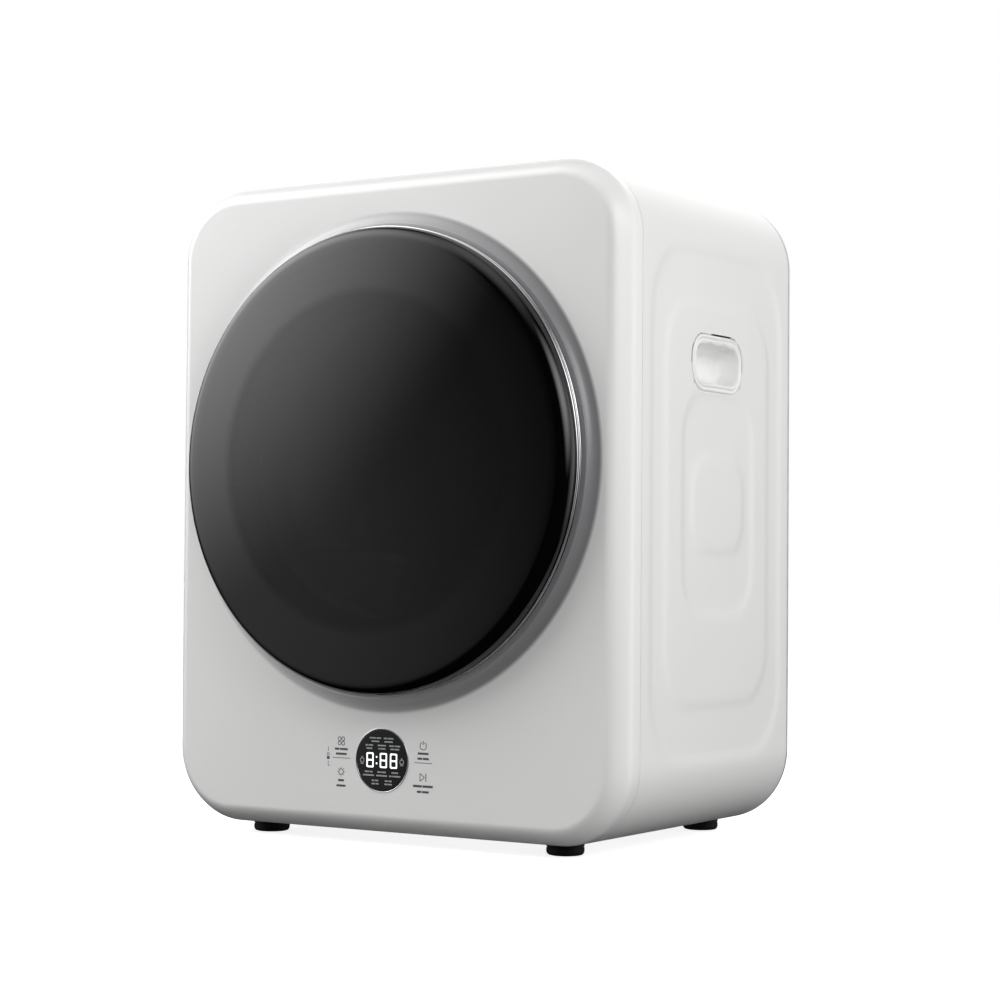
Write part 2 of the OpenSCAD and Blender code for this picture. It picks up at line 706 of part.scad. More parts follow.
module motor_cradle() color("silver") difference() {
    union() {
        block(motor_x - 40, motor_x + 40, motor_d + 16, motor_d + 22, deck_z, motor_z - 8);
        block(motor_x - 40, motor_x + 40, motor_d + motor_len - 22, motor_d + motor_len - 16, deck_z, motor_z - 8);
        block(motor_x - 40, motor_x + 40, motor_d + 16, motor_d + motor_len - 16, deck_z, deck_z + 3);
    }
    on_axis(motor_x, motor_z) rod(motor_r, motor_d, motor_d + motor_len);
}
module capacitor() color("lightgrey") {
    on_axis(motor_x - 68, deck_z + 24) rod(17, motor_d + 10, motor_d + 74);
    block(motor_x - 84, motor_x - 52, motor_d + 30, motor_d + 50, deck_z, deck_z + 8);
}

// ---- air path ----

blade_n = 24;
module blower_wheel() color([0.25, 0.25, 0.25]) on_axis(motor_x, motor_z) {
    ring(rotor_r, 12, blower_d + 4, blower_d + blower_len - 8);
    ring(rotor_r, blower_r, blower_d + blower_len - 10, blower_d + blower_len - 8);
    ring(blower_r - 10, blower_r, blower_d + 4, blower_d + 6);
    for (k = [0:blade_n - 1]) rotate(k * 360 / blade_n)
        translate([blower_r - 11, -1, blower_d + 4]) cube([10, 2, blower_len - 13]);
}
module blower_housing() color("gainsboro") difference() {
    union() {
        on_axis(motor_x, motor_z) rod(scroll_r, blower_d, blower_d + blower_len);
        block(motor_x, vent_x + outlet_w / 2, blower_d, blower_d + blower_len, motor_z - scroll_r,
            motor_z + scroll_r);
        block(motor_x - 30, duct_x1, chamber_d, blower_d, deck_z, duct_top);
        on_axis(vent_x, vent_z) rod(vent_r + 1, blower_d, body_d - 12);
    }
    on_axis(motor_x, motor_z) rod(scroll_r - duct_wall, blower_d + duct_wall, blower_d + blower_len - duct_wall);
    block(motor_x, vent_x + outlet_w / 2 - duct_wall, blower_d + duct_wall, blower_d + blower_len - duct_wall,
        motor_z - scroll_r + duct_wall, motor_z + scroll_r - duct_wall);
    block(motor_x - 30 + duct_wall, duct_x1 - duct_wall, chamber_d + duct_wall, blower_d - eps,
        deck_z + duct_wall, duct_top - duct_wall);
    block(duct_x0 + duct_wall, duct_x1 - duct_wall, chamber_d - eps, chamber_d + duct_wall + eps,
        deck_z + 2 + duct_wall, duct_top - duct_wall);
    on_axis(motor_x, motor_z) rod(26, blower_d - 2 * eps, blower_d + duct_wall + eps);
    on_axis(motor_x, motor_z) rod(rotor_r + 1, chamber_d - eps, chamber_d + duct_wall + eps);
    on_axis(vent_x, vent_z) rod(vent_r - 1.5, blower_d + duct_wall, body_d);
}
module vent_collar() color([0.25, 0.25, 0.25]) on_axis(vent_x, vent_z) {
    ring(vent_r - 3.5, vent_r - 1.5, body_d - 14, body_d + vent_out);
    ring(vent_r - 1.5, vent_r + 8, body_d, body_d + 2);
    ring(vent_r - 1.5, vent_r, body_d + vent_out - 4, body_d + vent_out);
}

module duct_outer(w) {
    block(-filter_w - 7 + w, filter_w + 7 - w, duct_front_d + w, bulkhead_d - 0.2 - w, deck_z + w, drum_z - 120);
    block(-filter_w - 7 + w, duct_x1 - w, duct_front_d + w, bulkhead_d - 0.2 - w, deck_z + w, duct_top - w);
}
module exhaust_duct() color("gainsboro") difference() {
    union() {
        duct_outer(0);
        block(duct_x0, duct_x1, bulkhead_d - 8, chamber_d, deck_z, duct_top);
    }
    duct_outer(duct_wall);
    block(duct_x0 + duct_wall, duct_x1 - duct_wall, bulkhead_d - 9, chamber_d + eps, deck_z + duct_wall,
        duct_top - duct_wall);
    on_axis(0, drum_z) rod(throat_r + throat_wall + pass_gap, 0, drum_d);
}

filter_bottom = drum_z - throat_r - filter_h;
module lint_filter_frame() color("lightgrey") difference() {
    block(-filter_w, filter_w, filter_d, filter_d + filter_t, filter_bottom, drum_z - throat_r / 2);
    on_axis(0, drum_z) rod(throat_r + 0.4, 0, drum_d);
    block(-filter_w + 6, filter_w - 6, filter_d - eps, filter_d + filter_t + eps, filter_bottom + 6,
        drum_z - throat_r - 12);
}
module lint_filter_mesh() color("grey")
    block(-filter_w + 6, filter_w - 6, filter_d + filter_t / 2 - 0.5, filter_d + filter_t / 2 + 0.5,
        filter_bottom + 6, drum_z - throat_r - 12);

module heater_duct() color("silver") difference() {
    block(heater_x - heater_w / 2, heater_x + heater_w / 2, heater_d0, heater_d1,
        heater_z - heater_h / 2, heater_z + heater_h / 2);
    block(heater_x - heater_w / 2 + 1.5, heater_x + heater_w / 2 - 1.5, heater_d0 - eps, heater_d1 + eps,
        heater_z - heater_h / 2 + 1.5, heater_z + heater_h / 2 - 1.5);
}
fin_n = 11;
module heater_element() color("dimgrey") {
    for (s = [-1, 1])
        block(heater_x - heater_w / 2 + 1.5, heater_x + heater_w / 2 - 1.5, heater_d0 + 12, heater_d0 + 32,
            heater_z + s * 34 - 4, heater_z + s * 34 + 4);
    for (k = [0:fin_n - 1])
        block(heater_x - 46 + 9 * k, heater_x - 44 + 9 * k, heater_d0 + 12, heater_d0 + 32,
            heater_z - 30, heater_z + 30);
}

cord_x = -190;
cord_z = deck_z + 62;
module cord_gland() color([0.1, 0.1, 0.1]) on_axis(cord_x, cord_z) difference() {
    union() {
        rod(9, body_d - 12, body_d);
        rod(13, body_d, body_d + 3);
        rod(8, body_d + 3, body_d + 12);
    }
    rod(3.6, body_d - 14, body_d + 14);
}

front_panel();
cabinet_shell();
rear_cover();
base_plate();
front_bulkhead();
rear_bulkhead();
door_bezel();
handle_cup_left();
handle_cup_right();
foot_front_left();
foot_front_right();
foot_rear_left();
foot_rear_right();
foot_screws();
rear_screws();
wall_bracket_nuts();
door_glass();
door_trim_ring();
door_frame();
door_bowl();
door_gasket();
door_hinge_leaf();
door_striker();
door_screws();
door_hinge_bracket();
door_hinge_pin();
door_magnet();
door_switch();
display_window();
display_ring();
control_board();
power_board();
drum_shell();
drum_back();
drum_lifter_1();
drum_lifter_2();
drum_lifter_3();
drum_hub();
drum_shaft();
drum_bearing();
bearing_housing();
felt_ring();
front_roller_left();
front_roller_right();
roller_axles();
drum_belt();
motor_housing();
motor_shaft();
motor_pulley();
motor_cradle();
capacitor();
blower_wheel();
blower_housing();
exhaust_duct();
lint_filter_frame();
lint_filter_mesh();
vent_collar();
heater_duct();
heater_element();
cord_gland();
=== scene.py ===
# %% [markdown]
# # A compact clothes dryer, from its frame to its finish
# The real machine is a steel sleeve between a moulded front and a pressed rear cover, with a domed
# glass door on a raised collar. The frame already holds every part at its real size and place, so
# this lesson only adds what the eye wants: soft edges, pressed panels, glass, chrome and print.

# %% The frame
import json
from math import asin, cos, pi, radians, sin, sqrt

import bmesh
import bpy
from mathutils import Matrix, Vector

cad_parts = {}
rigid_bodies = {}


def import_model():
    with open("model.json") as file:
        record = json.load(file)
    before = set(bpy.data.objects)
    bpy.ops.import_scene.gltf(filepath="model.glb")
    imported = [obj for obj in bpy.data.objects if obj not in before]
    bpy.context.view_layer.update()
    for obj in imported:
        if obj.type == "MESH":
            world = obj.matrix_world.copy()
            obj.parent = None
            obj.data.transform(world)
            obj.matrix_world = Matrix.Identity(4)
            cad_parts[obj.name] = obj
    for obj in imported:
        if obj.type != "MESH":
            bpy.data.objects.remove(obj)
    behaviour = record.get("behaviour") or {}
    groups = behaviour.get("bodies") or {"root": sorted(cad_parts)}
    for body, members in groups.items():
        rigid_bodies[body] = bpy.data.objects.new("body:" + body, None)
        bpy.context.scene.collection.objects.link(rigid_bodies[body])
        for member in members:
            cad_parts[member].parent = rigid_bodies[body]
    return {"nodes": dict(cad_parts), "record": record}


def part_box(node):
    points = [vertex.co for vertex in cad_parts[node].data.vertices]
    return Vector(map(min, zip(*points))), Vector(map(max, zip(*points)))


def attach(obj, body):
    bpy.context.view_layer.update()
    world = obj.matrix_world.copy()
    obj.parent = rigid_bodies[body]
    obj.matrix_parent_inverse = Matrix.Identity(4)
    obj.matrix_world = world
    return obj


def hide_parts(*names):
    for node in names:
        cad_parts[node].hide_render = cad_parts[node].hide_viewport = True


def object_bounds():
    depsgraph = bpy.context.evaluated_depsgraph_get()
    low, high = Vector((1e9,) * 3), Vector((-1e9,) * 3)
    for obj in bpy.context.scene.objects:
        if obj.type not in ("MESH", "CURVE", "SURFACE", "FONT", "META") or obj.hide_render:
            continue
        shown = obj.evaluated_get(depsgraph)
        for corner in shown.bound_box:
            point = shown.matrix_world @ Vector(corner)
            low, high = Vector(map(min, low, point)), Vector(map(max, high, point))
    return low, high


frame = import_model()
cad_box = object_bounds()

# %% [markdown]
# ## The view and the light
# The camera stands low and to the right with a long lens, as a catalogue view does, so that the side
# stays nearly upright. Its place could be guessed, but a fitted place keeps every edge parallel.
# The backdrop is white to the camera only: a white room would put a milky veil on the black door,
# so the panels are lit by soft cards, which fade out towards their rims.

# %% Camera
YAW, PITCH, ROLL = 32.51, 1.71, 0.455
CAMERA_PLACE = (1.2284, -1.8848, 0.2513)
camera_data = bpy.data.cameras.new("camera")
camera_data.sensor_width = 36
camera_data.lens = 84.13
camera = bpy.data.objects.new("camera", camera_data)
camera.matrix_world = (Matrix.Translation(CAMERA_PLACE)
                       @ Matrix.Rotation(radians(YAW), 4, "Z")
                       @ Matrix.Rotation(radians(90 + PITCH), 4, "X")
                       @ Matrix.Rotation(radians(ROLL), 4, "Z"))
bpy.context.scene.collection.objects.link(camera)
bpy.context.scene.camera = camera
bpy.context.scene.view_settings.view_transform = "Standard"
print("camera", round(camera.location.length, 2), "m from the middle of the base")


# %% A node with its settings and links, and colours in hex
def add(tree, kind, settings=None, links=None):
    """Adds a shader node; a key that names a socket sets the socket, and any other a property."""
    node = tree.nodes.new("ShaderNode" + kind)
    for key, value in (settings or {}).items():
        if isinstance(key, int) or key in node.inputs:
            node.inputs[key].default_value = value
        else:
            setattr(node, key, value)
    for key, source in (links or {}).items():
        tree.links.new(source, node.inputs[key])
    return node


def linear(code):
    """The linear RGBA colour of an sRGB hex code such as 'F2F2F0'."""
    parts = [int(code[k:k + 2], 16) / 255 for k in (0, 2, 4)]
    return [c / 12.92 if c <= 0.04045 else ((c + 0.055) / 1.055) ** 2.4 for c in parts] + [1.0]


print("white plastic is", [round(c, 3) for c in linear("F2F2F0")])

# %% Soft cards that fade towards their rims
MM = 0.001
scene_objects = bpy.context.scene.collection.objects
centre = Vector((0, 0, (cad_box[0].z + cad_box[1].z) / 2))


def soft_card(name, place, size, strength, mirrored=True):
    """A glowing gauze card that faces the cabinet and is brightest in its middle."""
    bm = bmesh.new()
    bmesh.ops.create_grid(bm, x_segments=1, y_segments=1, size=size / 2)
    turn = (Vector(place) - centre).to_track_quat("Z", "Y").to_matrix().to_4x4()
    mesh = bpy.data.meshes.new(name)
    bm.to_mesh(mesh)
    bm.free()
    card = bpy.data.objects.new(name, mesh)
    card.matrix_world = Matrix.Translation(place) @ turn
    mat = bpy.data.materials.new(name)
    mat.use_nodes = True
    tree = mat.node_tree
    tree.nodes.clear()
    coords = add(tree, "TexCoord")
    reach = add(tree, "VectorMath", {"operation": "LENGTH"}, {0: coords.outputs["Object"]})
    glow = add(tree, "MapRange", {"interpolation_type": "SMOOTHSTEP", "From Min": size / 2,
                                  "From Max": 0.0, "To Max": strength},
               {"Value": reach.outputs["Value"]})
    light = add(tree, "Emission", None, {"Strength": glow.outputs["Result"]})
    gauze = add(tree, "BsdfTransparent")
    both = add(tree, "AddShader", None, {0: light.outputs["Emission"], 1: gauze.outputs["BSDF"]})
    add(tree, "OutputMaterial", None, {"Surface": both.outputs["Shader"]})
    mesh.materials.append(mat)
    card.visible_camera = False
    card.visible_glossy = mirrored
    scene_objects.link(card)


def compass(azimuth, elevation, away=2.2):
    """A place seen from the middle of the cabinet; azimuth turns from the front to the right."""
    a, e = radians(azimuth), radians(elevation)
    return tuple(centre + away * Vector((sin(a) * cos(e), -cos(a) * cos(e), sin(e))))


soft_card("card_left", compass(-66, 32), 4.4, 4.4)
soft_card("card_veil", compass(-48, -5), 4.6, 0.5)
soft_card("card_top", compass(0, 72), 3.8, 1.2)
soft_card("card_right", compass(70, 25), 2.6, 4.2)
soft_card("card_right_low", compass(45, -22), 2.0, 3.9, mirrored=False)
soft_card("card_right_rear", compass(120, 10), 4.0, 1.8)
soft_card("card_back", compass(180, 40), 3.0, 1.6)
soft_card("card_back_left", compass(-145, 25), 3.2, 1.2)

# %% A weak panel in the drum, so that something shows through the tinted glass
DRUM_PANEL_PLACE = (0.03, -0.06, 0.39)
lamp_data = bpy.data.lights.new("drum_panel", "AREA")
lamp_data.energy = 0.05
lamp_data.size = 0.12
lamp = bpy.data.objects.new("drum_panel", lamp_data)
lamp.matrix_world = (Matrix.Translation(DRUM_PANEL_PLACE)
                     @ Matrix.Rotation(radians(80), 4, "X"))
lamp.visible_camera = False
scene_objects.link(lamp)
print("the panel in the drum gives", lamp_data.energy, "W")

# %% Backdrop and floor
world = bpy.data.worlds.new("backdrop")
world.use_nodes = True
world.node_tree.nodes["Background"].inputs["Color"].default_value = (1, 1, 1, 1)
world.node_tree.nodes["Background"].inputs["Strength"].default_value = 1.0
bpy.context.scene.world = world
world.cycles_visibility.diffuse = False
world.cycles_visibility.glossy = False
world.cycles_visibility.transmission = False


def floor_paint():
    """Matt white board that glows faintly, more so far away, so that it meets the backdrop softly."""
    mat = bpy.data.materials.new("matt white floor board")
    mat.use_nodes = True
    tree = mat.node_tree
    shader = tree.nodes["Principled BSDF"]
    shader.inputs["Base Color"].default_value = linear("D8D8D8")
    shader.inputs["Roughness"].default_value = 0.8
    shader.inputs["Emission Color"].default_value = (1, 1, 1, 1)
    coords = add(tree, "TexCoord")
    reach = add(tree, "VectorMath", {"operation": "LENGTH"}, {0: coords.outputs["Object"]})
    glow = add(tree, "MapRange", {"interpolation_type": "SMOOTHSTEP", "From Min": 0.3,
                                  "From Max": 1.4, "To Min": 0.84, "To Max": 1.0},
               {"Value": reach.outputs["Value"]})
    tree.links.new(glow.outputs["Result"], shader.inputs["Emission Strength"])
    return mat


floor_shape = bmesh.new()
bmesh.ops.create_circle(floor_shape, cap_ends=True, segments=96, radius=40)
floor_mesh = bpy.data.meshes.new("floor")
floor_shape.to_mesh(floor_mesh)
floor_shape.free()
floor_mesh.materials.append(floor_paint())
floor = bpy.data.objects.new("floor", floor_mesh)
floor.location.z = -0.2 * MM
floor.visible_diffuse = False
floor.visible_glossy = False
floor.visible_shadow = False
scene_objects.link(floor)
print("backdrop and floor are in place")

# %% [markdown]
# ## Measures from the frame
# Each place below is read from a part of the frame, so a piece made here meets its neighbours. The
# flat front face is the reference for depth, as on the machine's own drawing.

# %% Places
shell_low, shell_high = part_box("cabinet_shell")
HALF_W = shell_high.x
HALF_H = (shell_high.z - shell_low.z) / 2
BODY_Z = (shell_high.z + shell_low.z) / 2
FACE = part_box("display_window")[0].y + 0.4 * MM
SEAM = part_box("front_panel")[1].y - FACE
SHELL_FRONT = shell_low.y - FACE
SHELL_REAR = shell_high.y - FACE
AXIS_Z = sum(corner.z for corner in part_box("door_glass")) / 2
DOOR_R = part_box("door_trim_ring")[1].x
GLASS_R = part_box("door_glass")[1].x
DOME_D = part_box("door_glass")[0].y - FACE
RIM_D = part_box("door_glass")[1].y - FACE
DISPLAY_Z = sum(corner.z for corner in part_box("display_window")) / 2
CORNER = 70 * MM
WELD = 0.004 * MM
print("cabinet", round(2 * HALF_W, 3), "x", round(2 * HALF_H, 3), "m, door radius", round(DOOR_R, 3))


# %% Turned shapes, finished pieces and cuts
def arc(centre_r, centre_d, radius, start, end, steps=12):
    """Points (radius, depth) of an arc; angles in degrees from outwards towards the back."""
    turns = [radians(start + (end - start) * k / steps) for k in range(steps + 1)]
    return [(centre_r + radius * cos(a), centre_d + radius * sin(a)) for a in turns]


def lathe(profile, x=0.0, z=None, steps=160, closed=True):
    """Spins a profile of (radius, depth) points, in mm, about an axis that runs front to back."""
    z = AXIS_Z if z is None else z
    bm = bmesh.new()
    verts = [bm.verts.new((x + r * MM, FACE + d * MM, z)) for r, d in profile]
    edges = [bm.edges.new(pair) for pair in zip(verts, verts[1:])]
    if closed:
        edges.append(bm.edges.new((verts[-1], verts[0])))
    bmesh.ops.spin(bm, geom=verts + edges, cent=(x, FACE, z), axis=(0, 1, 0), angle=2 * pi,
                   steps=steps, use_merge=True)
    bmesh.ops.remove_doubles(bm, verts=bm.verts, dist=WELD)
    bmesh.ops.recalc_face_normals(bm, faces=bm.faces)
    return bm


def smooth(obj, angle=35):
    """Smooth shading, with a hard edge wherever two faces meet at more than the angle."""
    obj.data.shade_smooth()
    obj.data.set_sharp_from_angle(angle=radians(angle))


def piece(name, bm, material, body, replaces=(), angle=35):
    """Turns a bmesh into a finished piece that rides on a body."""
    mesh = bpy.data.meshes.new(name)
    bm.to_mesh(mesh)
    bm.free()
    mesh.materials.append(material)
    obj = bpy.data.objects.new(name, mesh)
    scene_objects.link(obj)
    smooth(obj, angle)
    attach(obj, body)
    if replaces:
        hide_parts(*replaces)
    print("made", name, "with", len(mesh.polygons), "faces")
    return obj


def settle(obj):
    """Puts the result of a piece's modifiers into its mesh."""
    graph = bpy.context.evaluated_depsgraph_get()
    done = bpy.data.meshes.new_from_object(obj.evaluated_get(graph))
    obj.modifiers.clear()
    obj.data = done


def wall(obj, thickness):
    """Gives a skin its wall, inwards from the face that shows."""
    thick = obj.modifiers.new("wall", "SOLIDIFY")
    thick.thickness = thickness
    thick.offset = -1
    thick.use_even_offset = True
    settle(obj)


def carve(obj, bm, angle=35, solver="EXACT"):
    """Cuts a closed shape out of a piece; FAST is for a skin that EXACT empties."""
    mesh = bpy.data.meshes.new("cutter")
    bm.to_mesh(mesh)
    bm.free()
    cutter = bpy.data.objects.new("cutter", mesh)
    scene_objects.link(cutter)
    cut = obj.modifiers.new("cut", "BOOLEAN")
    cut.operation = "DIFFERENCE"
    cut.solver = solver
    cut.object = cutter
    settle(obj)
    bpy.data.objects.remove(cutter)
    smooth(obj, angle)


# %% Loops of edges that follow the cabinet's section
def section(bm, side_cuts, top_cuts, depth):
    """A rounded rectangle of edges at a depth behind the flat face."""
    corners = [bm.verts.new((sx * HALF_W, FACE + depth, BODY_Z + sz * HALF_H))
               for sx, sz in ((-1, -1), (1, -1), (1, 1), (-1, 1))]
    bm.faces.new(corners)
    bmesh.ops.bevel(bm, geom=corners, offset=CORNER, offset_type="OFFSET", segments=20,
                    profile=0.5, affect="VERTICES", material=-1)
    bmesh.ops.delete(bm, geom=bm.faces[:], context="FACES_ONLY")
    for upright, cuts in ((True, side_cuts), (False, top_cuts)):
        runs = [e for e in bm.edges if e.calc_length() > 2 * CORNER
                and (abs(e.verts[0].co.x - e.verts[1].co.x) < MM) == upright]
        if cuts:
            bmesh.ops.subdivide_edges(bm, edges=runs, cuts=cuts)
    return bm.edges[:]


def on_section(co, inset, depth):
    """The point of the section's outline nearest to co, moved inwards, at a depth."""
    flat = Vector((co.x, co.z - BODY_Z))
    core = Vector((max(-HALF_W + CORNER, min(HALF_W - CORNER, flat.x)),
                   max(-HALF_H + CORNER, min(HALF_H - CORNER, flat.y))))
    out = core + (flat - core).normalized() * (CORNER - inset)
    return Vector((out.x, FACE + depth, BODY_Z + out.y))


def grow(bm, edges, move):
    """Extrudes a loop of edges, moves each new vertex, and returns the new loop."""
    made = bmesh.ops.extrude_edge_only(bm, edges=edges)["geom"]
    fresh = {g for g in made if isinstance(g, bmesh.types.BMVert)}
    for vert in fresh:
        vert.co = move(vert.co)
    return [g for g in made if isinstance(g, bmesh.types.BMEdge) and set(g.verts) <= fresh]


def circle(bm, x, z, radius, depth, segments):
    """A circle of edges in a plane behind the flat face."""
    place = Matrix.Translation((x, FACE + depth, z)) @ Matrix.Rotation(radians(90), 4, "X")
    made = bmesh.ops.create_circle(bm, cap_ends=False, segments=segments, radius=radius,
                                   matrix=place)
    return list({edge for vert in made["verts"] for edge in vert.link_edges})


def box_cutter(low, high):
    """A plain box between two corners, for cutting."""
    bm = bmesh.new()
    size = Vector(high) - Vector(low)
    place = Matrix.Translation((Vector(low) + Vector(high)) / 2) @ Matrix.Diagonal((*size, 1))
    bmesh.ops.create_cube(bm, size=1, matrix=place)
    return bm


def rod_cutter(centre_at, radius, length):
    """An upright rod, for cutting."""
    bm = bmesh.new()
    bmesh.ops.create_cone(bm, cap_ends=True, segments=48, radius1=radius, radius2=radius,
                          depth=length, matrix=Matrix.Translation(centre_at))
    return bm


# %% [markdown]
# ## Finishes
# Each finish starts from what the real material is and how its surface was made. A grain that is
# too fine to see at this distance still breaks up the highlights, so it is drawn at its real size
# or, where a comment says so, coarser.

# %% One start for every finish
def finish(name, colour, roughness, metallic=0.0, **sockets):
    """A named Principled material; the sockets hold what is the same all over."""
    mat = bpy.data.materials.new(name)
    mat.use_nodes = True
    shader = mat.node_tree.nodes["Principled BSDF"]
    shader.inputs["Base Color"].default_value = linear(colour)
    shader.inputs["Roughness"].default_value = roughness
    shader.inputs["Metallic"].default_value = metallic
    for socket, value in sockets.items():
        shader.inputs[socket.replace("_", " ")].default_value = value
    return mat, mat.node_tree, shader


def grain(tree, shader, spacing, height, rough=None, stretch=(1, 1, 1), detail=3.0):
    """Moulded or rolled grain: bumps of a spacing and height in mm, and a range of roughness."""
    coords = add(tree, "TexCoord")
    place = add(tree, "Mapping", {"Scale": stretch}, {"Vector": coords.outputs["Object"]})
    noise = add(tree, "TexNoise", {"Scale": 1 / (spacing * MM), "Detail": detail},
                {"Vector": place.outputs["Vector"]})
    bump = add(tree, "Bump", {"Distance": height * MM, "Strength": 1.0},
               {"Height": noise.outputs["Fac"]})
    tree.links.new(bump.outputs["Normal"], shader.inputs["Normal"])
    if rough:
        spread = add(tree, "MapRange", {"To Min": rough[0], "To Max": rough[1]},
                     {"Value": noise.outputs["Fac"]})
        tree.links.new(spread.outputs["Result"], shader.inputs["Roughness"])
    return noise


def door_reach(tree):
    """Distance of a point from the door's axis, in metres."""
    coords = add(tree, "TexCoord")
    shift = add(tree, "Mapping", {"Location": (0, 0, -AXIS_Z), "Scale": (1, 0, 1)},
                {"Vector": coords.outputs["Object"]})
    return add(tree, "VectorMath", {"operation": "LENGTH"}, {0: shift.outputs["Vector"]})


# %% Painted ABS for the front, with the collar in silver grey and painted shade on its right side
def painted_abs():
    """Satin white ABS; the raised collar is sprayed silver grey, with a soft edge, and painted shade
    darkens its grey towards the right side.
    """
    mat, tree, shader = finish("satin painted ABS", "F4F4F3", 0.32, IOR=1.5)
    shader.inputs["Coat Weight"].default_value = 0.35
    shader.inputs["Coat Roughness"].default_value = 0.12
    grain(tree, shader, 1.4, 0.004, rough=(0.29, 0.36))
    reach = door_reach(tree)
    spray = add(tree, "MapRange", {"interpolation_type": "SMOOTHSTEP",
                                   "From Min": DOOR_R + 12 * MM, "From Max": DOOR_R + 16.5 * MM},
                {"Value": reach.outputs["Value"]})
    coords = add(tree, "TexCoord")
    place = add(tree, "SeparateXYZ", None, {"Vector": coords.outputs["Object"]})
    # painted shade: the collar's silver grey turns darker from left to right across the door, as
    # where less light falls
    painted_collar_shade = add(tree, "MapRange", {"interpolation_type": "SMOOTHSTEP", "From Min": -0.14,
                                    "From Max": 0.19}, {"Value": place.outputs["X"]})
    silver = add(tree, "MixRGB", {"Color1": linear("D2D2D3"), "Color2": linear("848486")},
                 {"Fac": painted_collar_shade.outputs["Result"]})
    colour = add(tree, "MixRGB", {"Color2": linear("F4F4F3")},
                 {"Fac": spray.outputs["Result"], "Color1": silver.outputs["Color"]})
    tree.links.new(colour.outputs["Color"], shader.inputs["Base Color"])
    return mat


# %% Enamel, plastics, rubber, metals and board
def white_enamel():
    """Powder-coated steel; the powder flows into a very faint orange peel a few mm across."""
    mat, tree, shader = finish("powder-coated steel", "F0F0EF", 0.3, IOR=1.5)
    grain(tree, shader, 7.0, 0.006, rough=(0.29, 0.33), detail=1.0)
    return mat


def galvanised():
    """Zinc-coated sheet: cool grey with large faint crystals."""
    mat, tree, shader = finish("galvanised steel sheet", "C9CBCD", 0.42, metallic=0.6)
    noise = grain(tree, shader, 9.0, 0.01, rough=(0.36, 0.5), detail=1.0)
    tint = add(tree, "ValToRGB", None, {"Fac": noise.outputs["Fac"]})
    tint.color_ramp.elements[0].color = linear("B9BBBE")
    tint.color_ramp.elements[1].color = linear("D6D8DA")
    tree.links.new(tint.outputs["Color"], shader.inputs["Base Color"])
    return mat


def pale_plastic():
    """Moulded polypropylene: pale, slightly waxy, with a fine spark-eroded grain."""
    mat, tree, shader = finish("moulded polypropylene", "D4D6D8", 0.45, IOR=1.49)
    grain(tree, shader, 0.7, 0.015, rough=(0.42, 0.52))
    return mat


def black_plastic():
    """Glass-filled nylon: black with a matt leathery grain."""
    mat, tree, shader = finish("black glass-filled nylon", "191A1B", 0.5, IOR=1.53)
    grain(tree, shader, 0.9, 0.02, rough=(0.44, 0.58))
    return mat


def black_rubber():
    """Moulded rubber: deep matt black that only lights up at grazing angles."""
    mat, tree, shader = finish("moulded nitrile rubber", "060607", 0.62, IOR=1.4)
    shader.inputs["Sheen Weight"].default_value = 0.02
    grain(tree, shader, 1.1, 0.03, rough=(0.55, 0.7))
    return mat


def chrome():
    """Polished chrome on plastic: near mirror with a trace of polishing haze."""
    mat, tree, shader = finish("polished chrome", "D9DADC", 0.09, metallic=1.0)
    grain(tree, shader, 3.0, 0.001, rough=(0.07, 0.12))
    return mat


def stainless():
    """Rolled stainless steel: the grain runs from front to back."""
    mat, tree, shader = finish("rolled stainless steel", "B9BABB", 0.3, metallic=1.0)
    grain(tree, shader, 0.8, 0.006, rough=(0.29, 0.38), stretch=(1, 0.04, 1))
    return mat


def zinc_plate():
    """Bright zinc plating on small pressed parts and screws."""
    mat, tree, shader = finish("bright zinc plate", "BFC0BD", 0.3, metallic=1.0)
    grain(tree, shader, 1.5, 0.008, rough=(0.29, 0.38))
    return mat


def cast_aluminium():
    """Die-cast aluminium: dull, with the rough skin of the mould."""
    mat, tree, shader = finish("die-cast aluminium", "A9ABAD", 0.45, metallic=1.0)
    grain(tree, shader, 1.2, 0.03, rough=(0.4, 0.55))
    return mat


def ferrite():
    """Sintered ferrite: dark grey, matt and slightly gritty."""
    mat, tree, shader = finish("sintered ferrite", "36373A", 0.6, IOR=1.8)
    grain(tree, shader, 0.5, 0.02, rough=(0.52, 0.7))
    return mat


def wool_felt():
    """Pressed wool felt: warm, fuzzy and without gloss."""
    mat, tree, shader = finish("pressed wool felt", "9C8B74", 0.95)
    shader.inputs["Sheen Weight"].default_value = 0.5
    shader.inputs["Sheen Roughness"].default_value = 0.6
    grain(tree, shader, 0.6, 0.15, rough=(0.88, 1.0), detail=6.0)
    return mat


def circuit_board():
    """Glass-epoxy board under green solder resist."""
    mat, tree, shader = finish("solder-resist circuit board", "0F4A27", 0.35, IOR=1.5)
    grain(tree, shader, 1.0, 0.01, rough=(0.3, 0.42))
    return mat


# %% Glass
def tinted_glass():
    """Grey glass, printed black behind beyond the bowl; what is seen through it stays faint."""
    mat, tree, shader = finish("tinted tempered glass", "060607", 0.035, IOR=1.52)
    reach = door_reach(tree)
    print_edge = add(tree, "MapRange", {"interpolation_type": "SMOOTHSTEP",
                                        "From Min": 146 * MM, "From Max": 160 * MM,
                                        "To Min": 0.72, "To Max": 1.0},
                     {"Value": reach.outputs["Value"]})
    tree.links.new(print_edge.outputs["Result"], shader.inputs["Alpha"])
    return mat


def clear_glass():
    """Pressed glass bowl: clear, with a faint green-grey body and glossy skin."""
    mat, tree, shader = finish("pressed clear glass", "4A5052", 0.05, IOR=1.5, Alpha=0.10)
    grain(tree, shader, 14.0, 0.02, detail=1.0)
    return mat


def display_glass():
    """Black display window: smoked acrylic, polished."""
    mat, tree, shader = finish("smoked acrylic", "040405", 0.06, IOR=1.49)
    grain(tree, shader, 6.0, 0.001, rough=(0.05, 0.08), detail=1.0)
    return mat


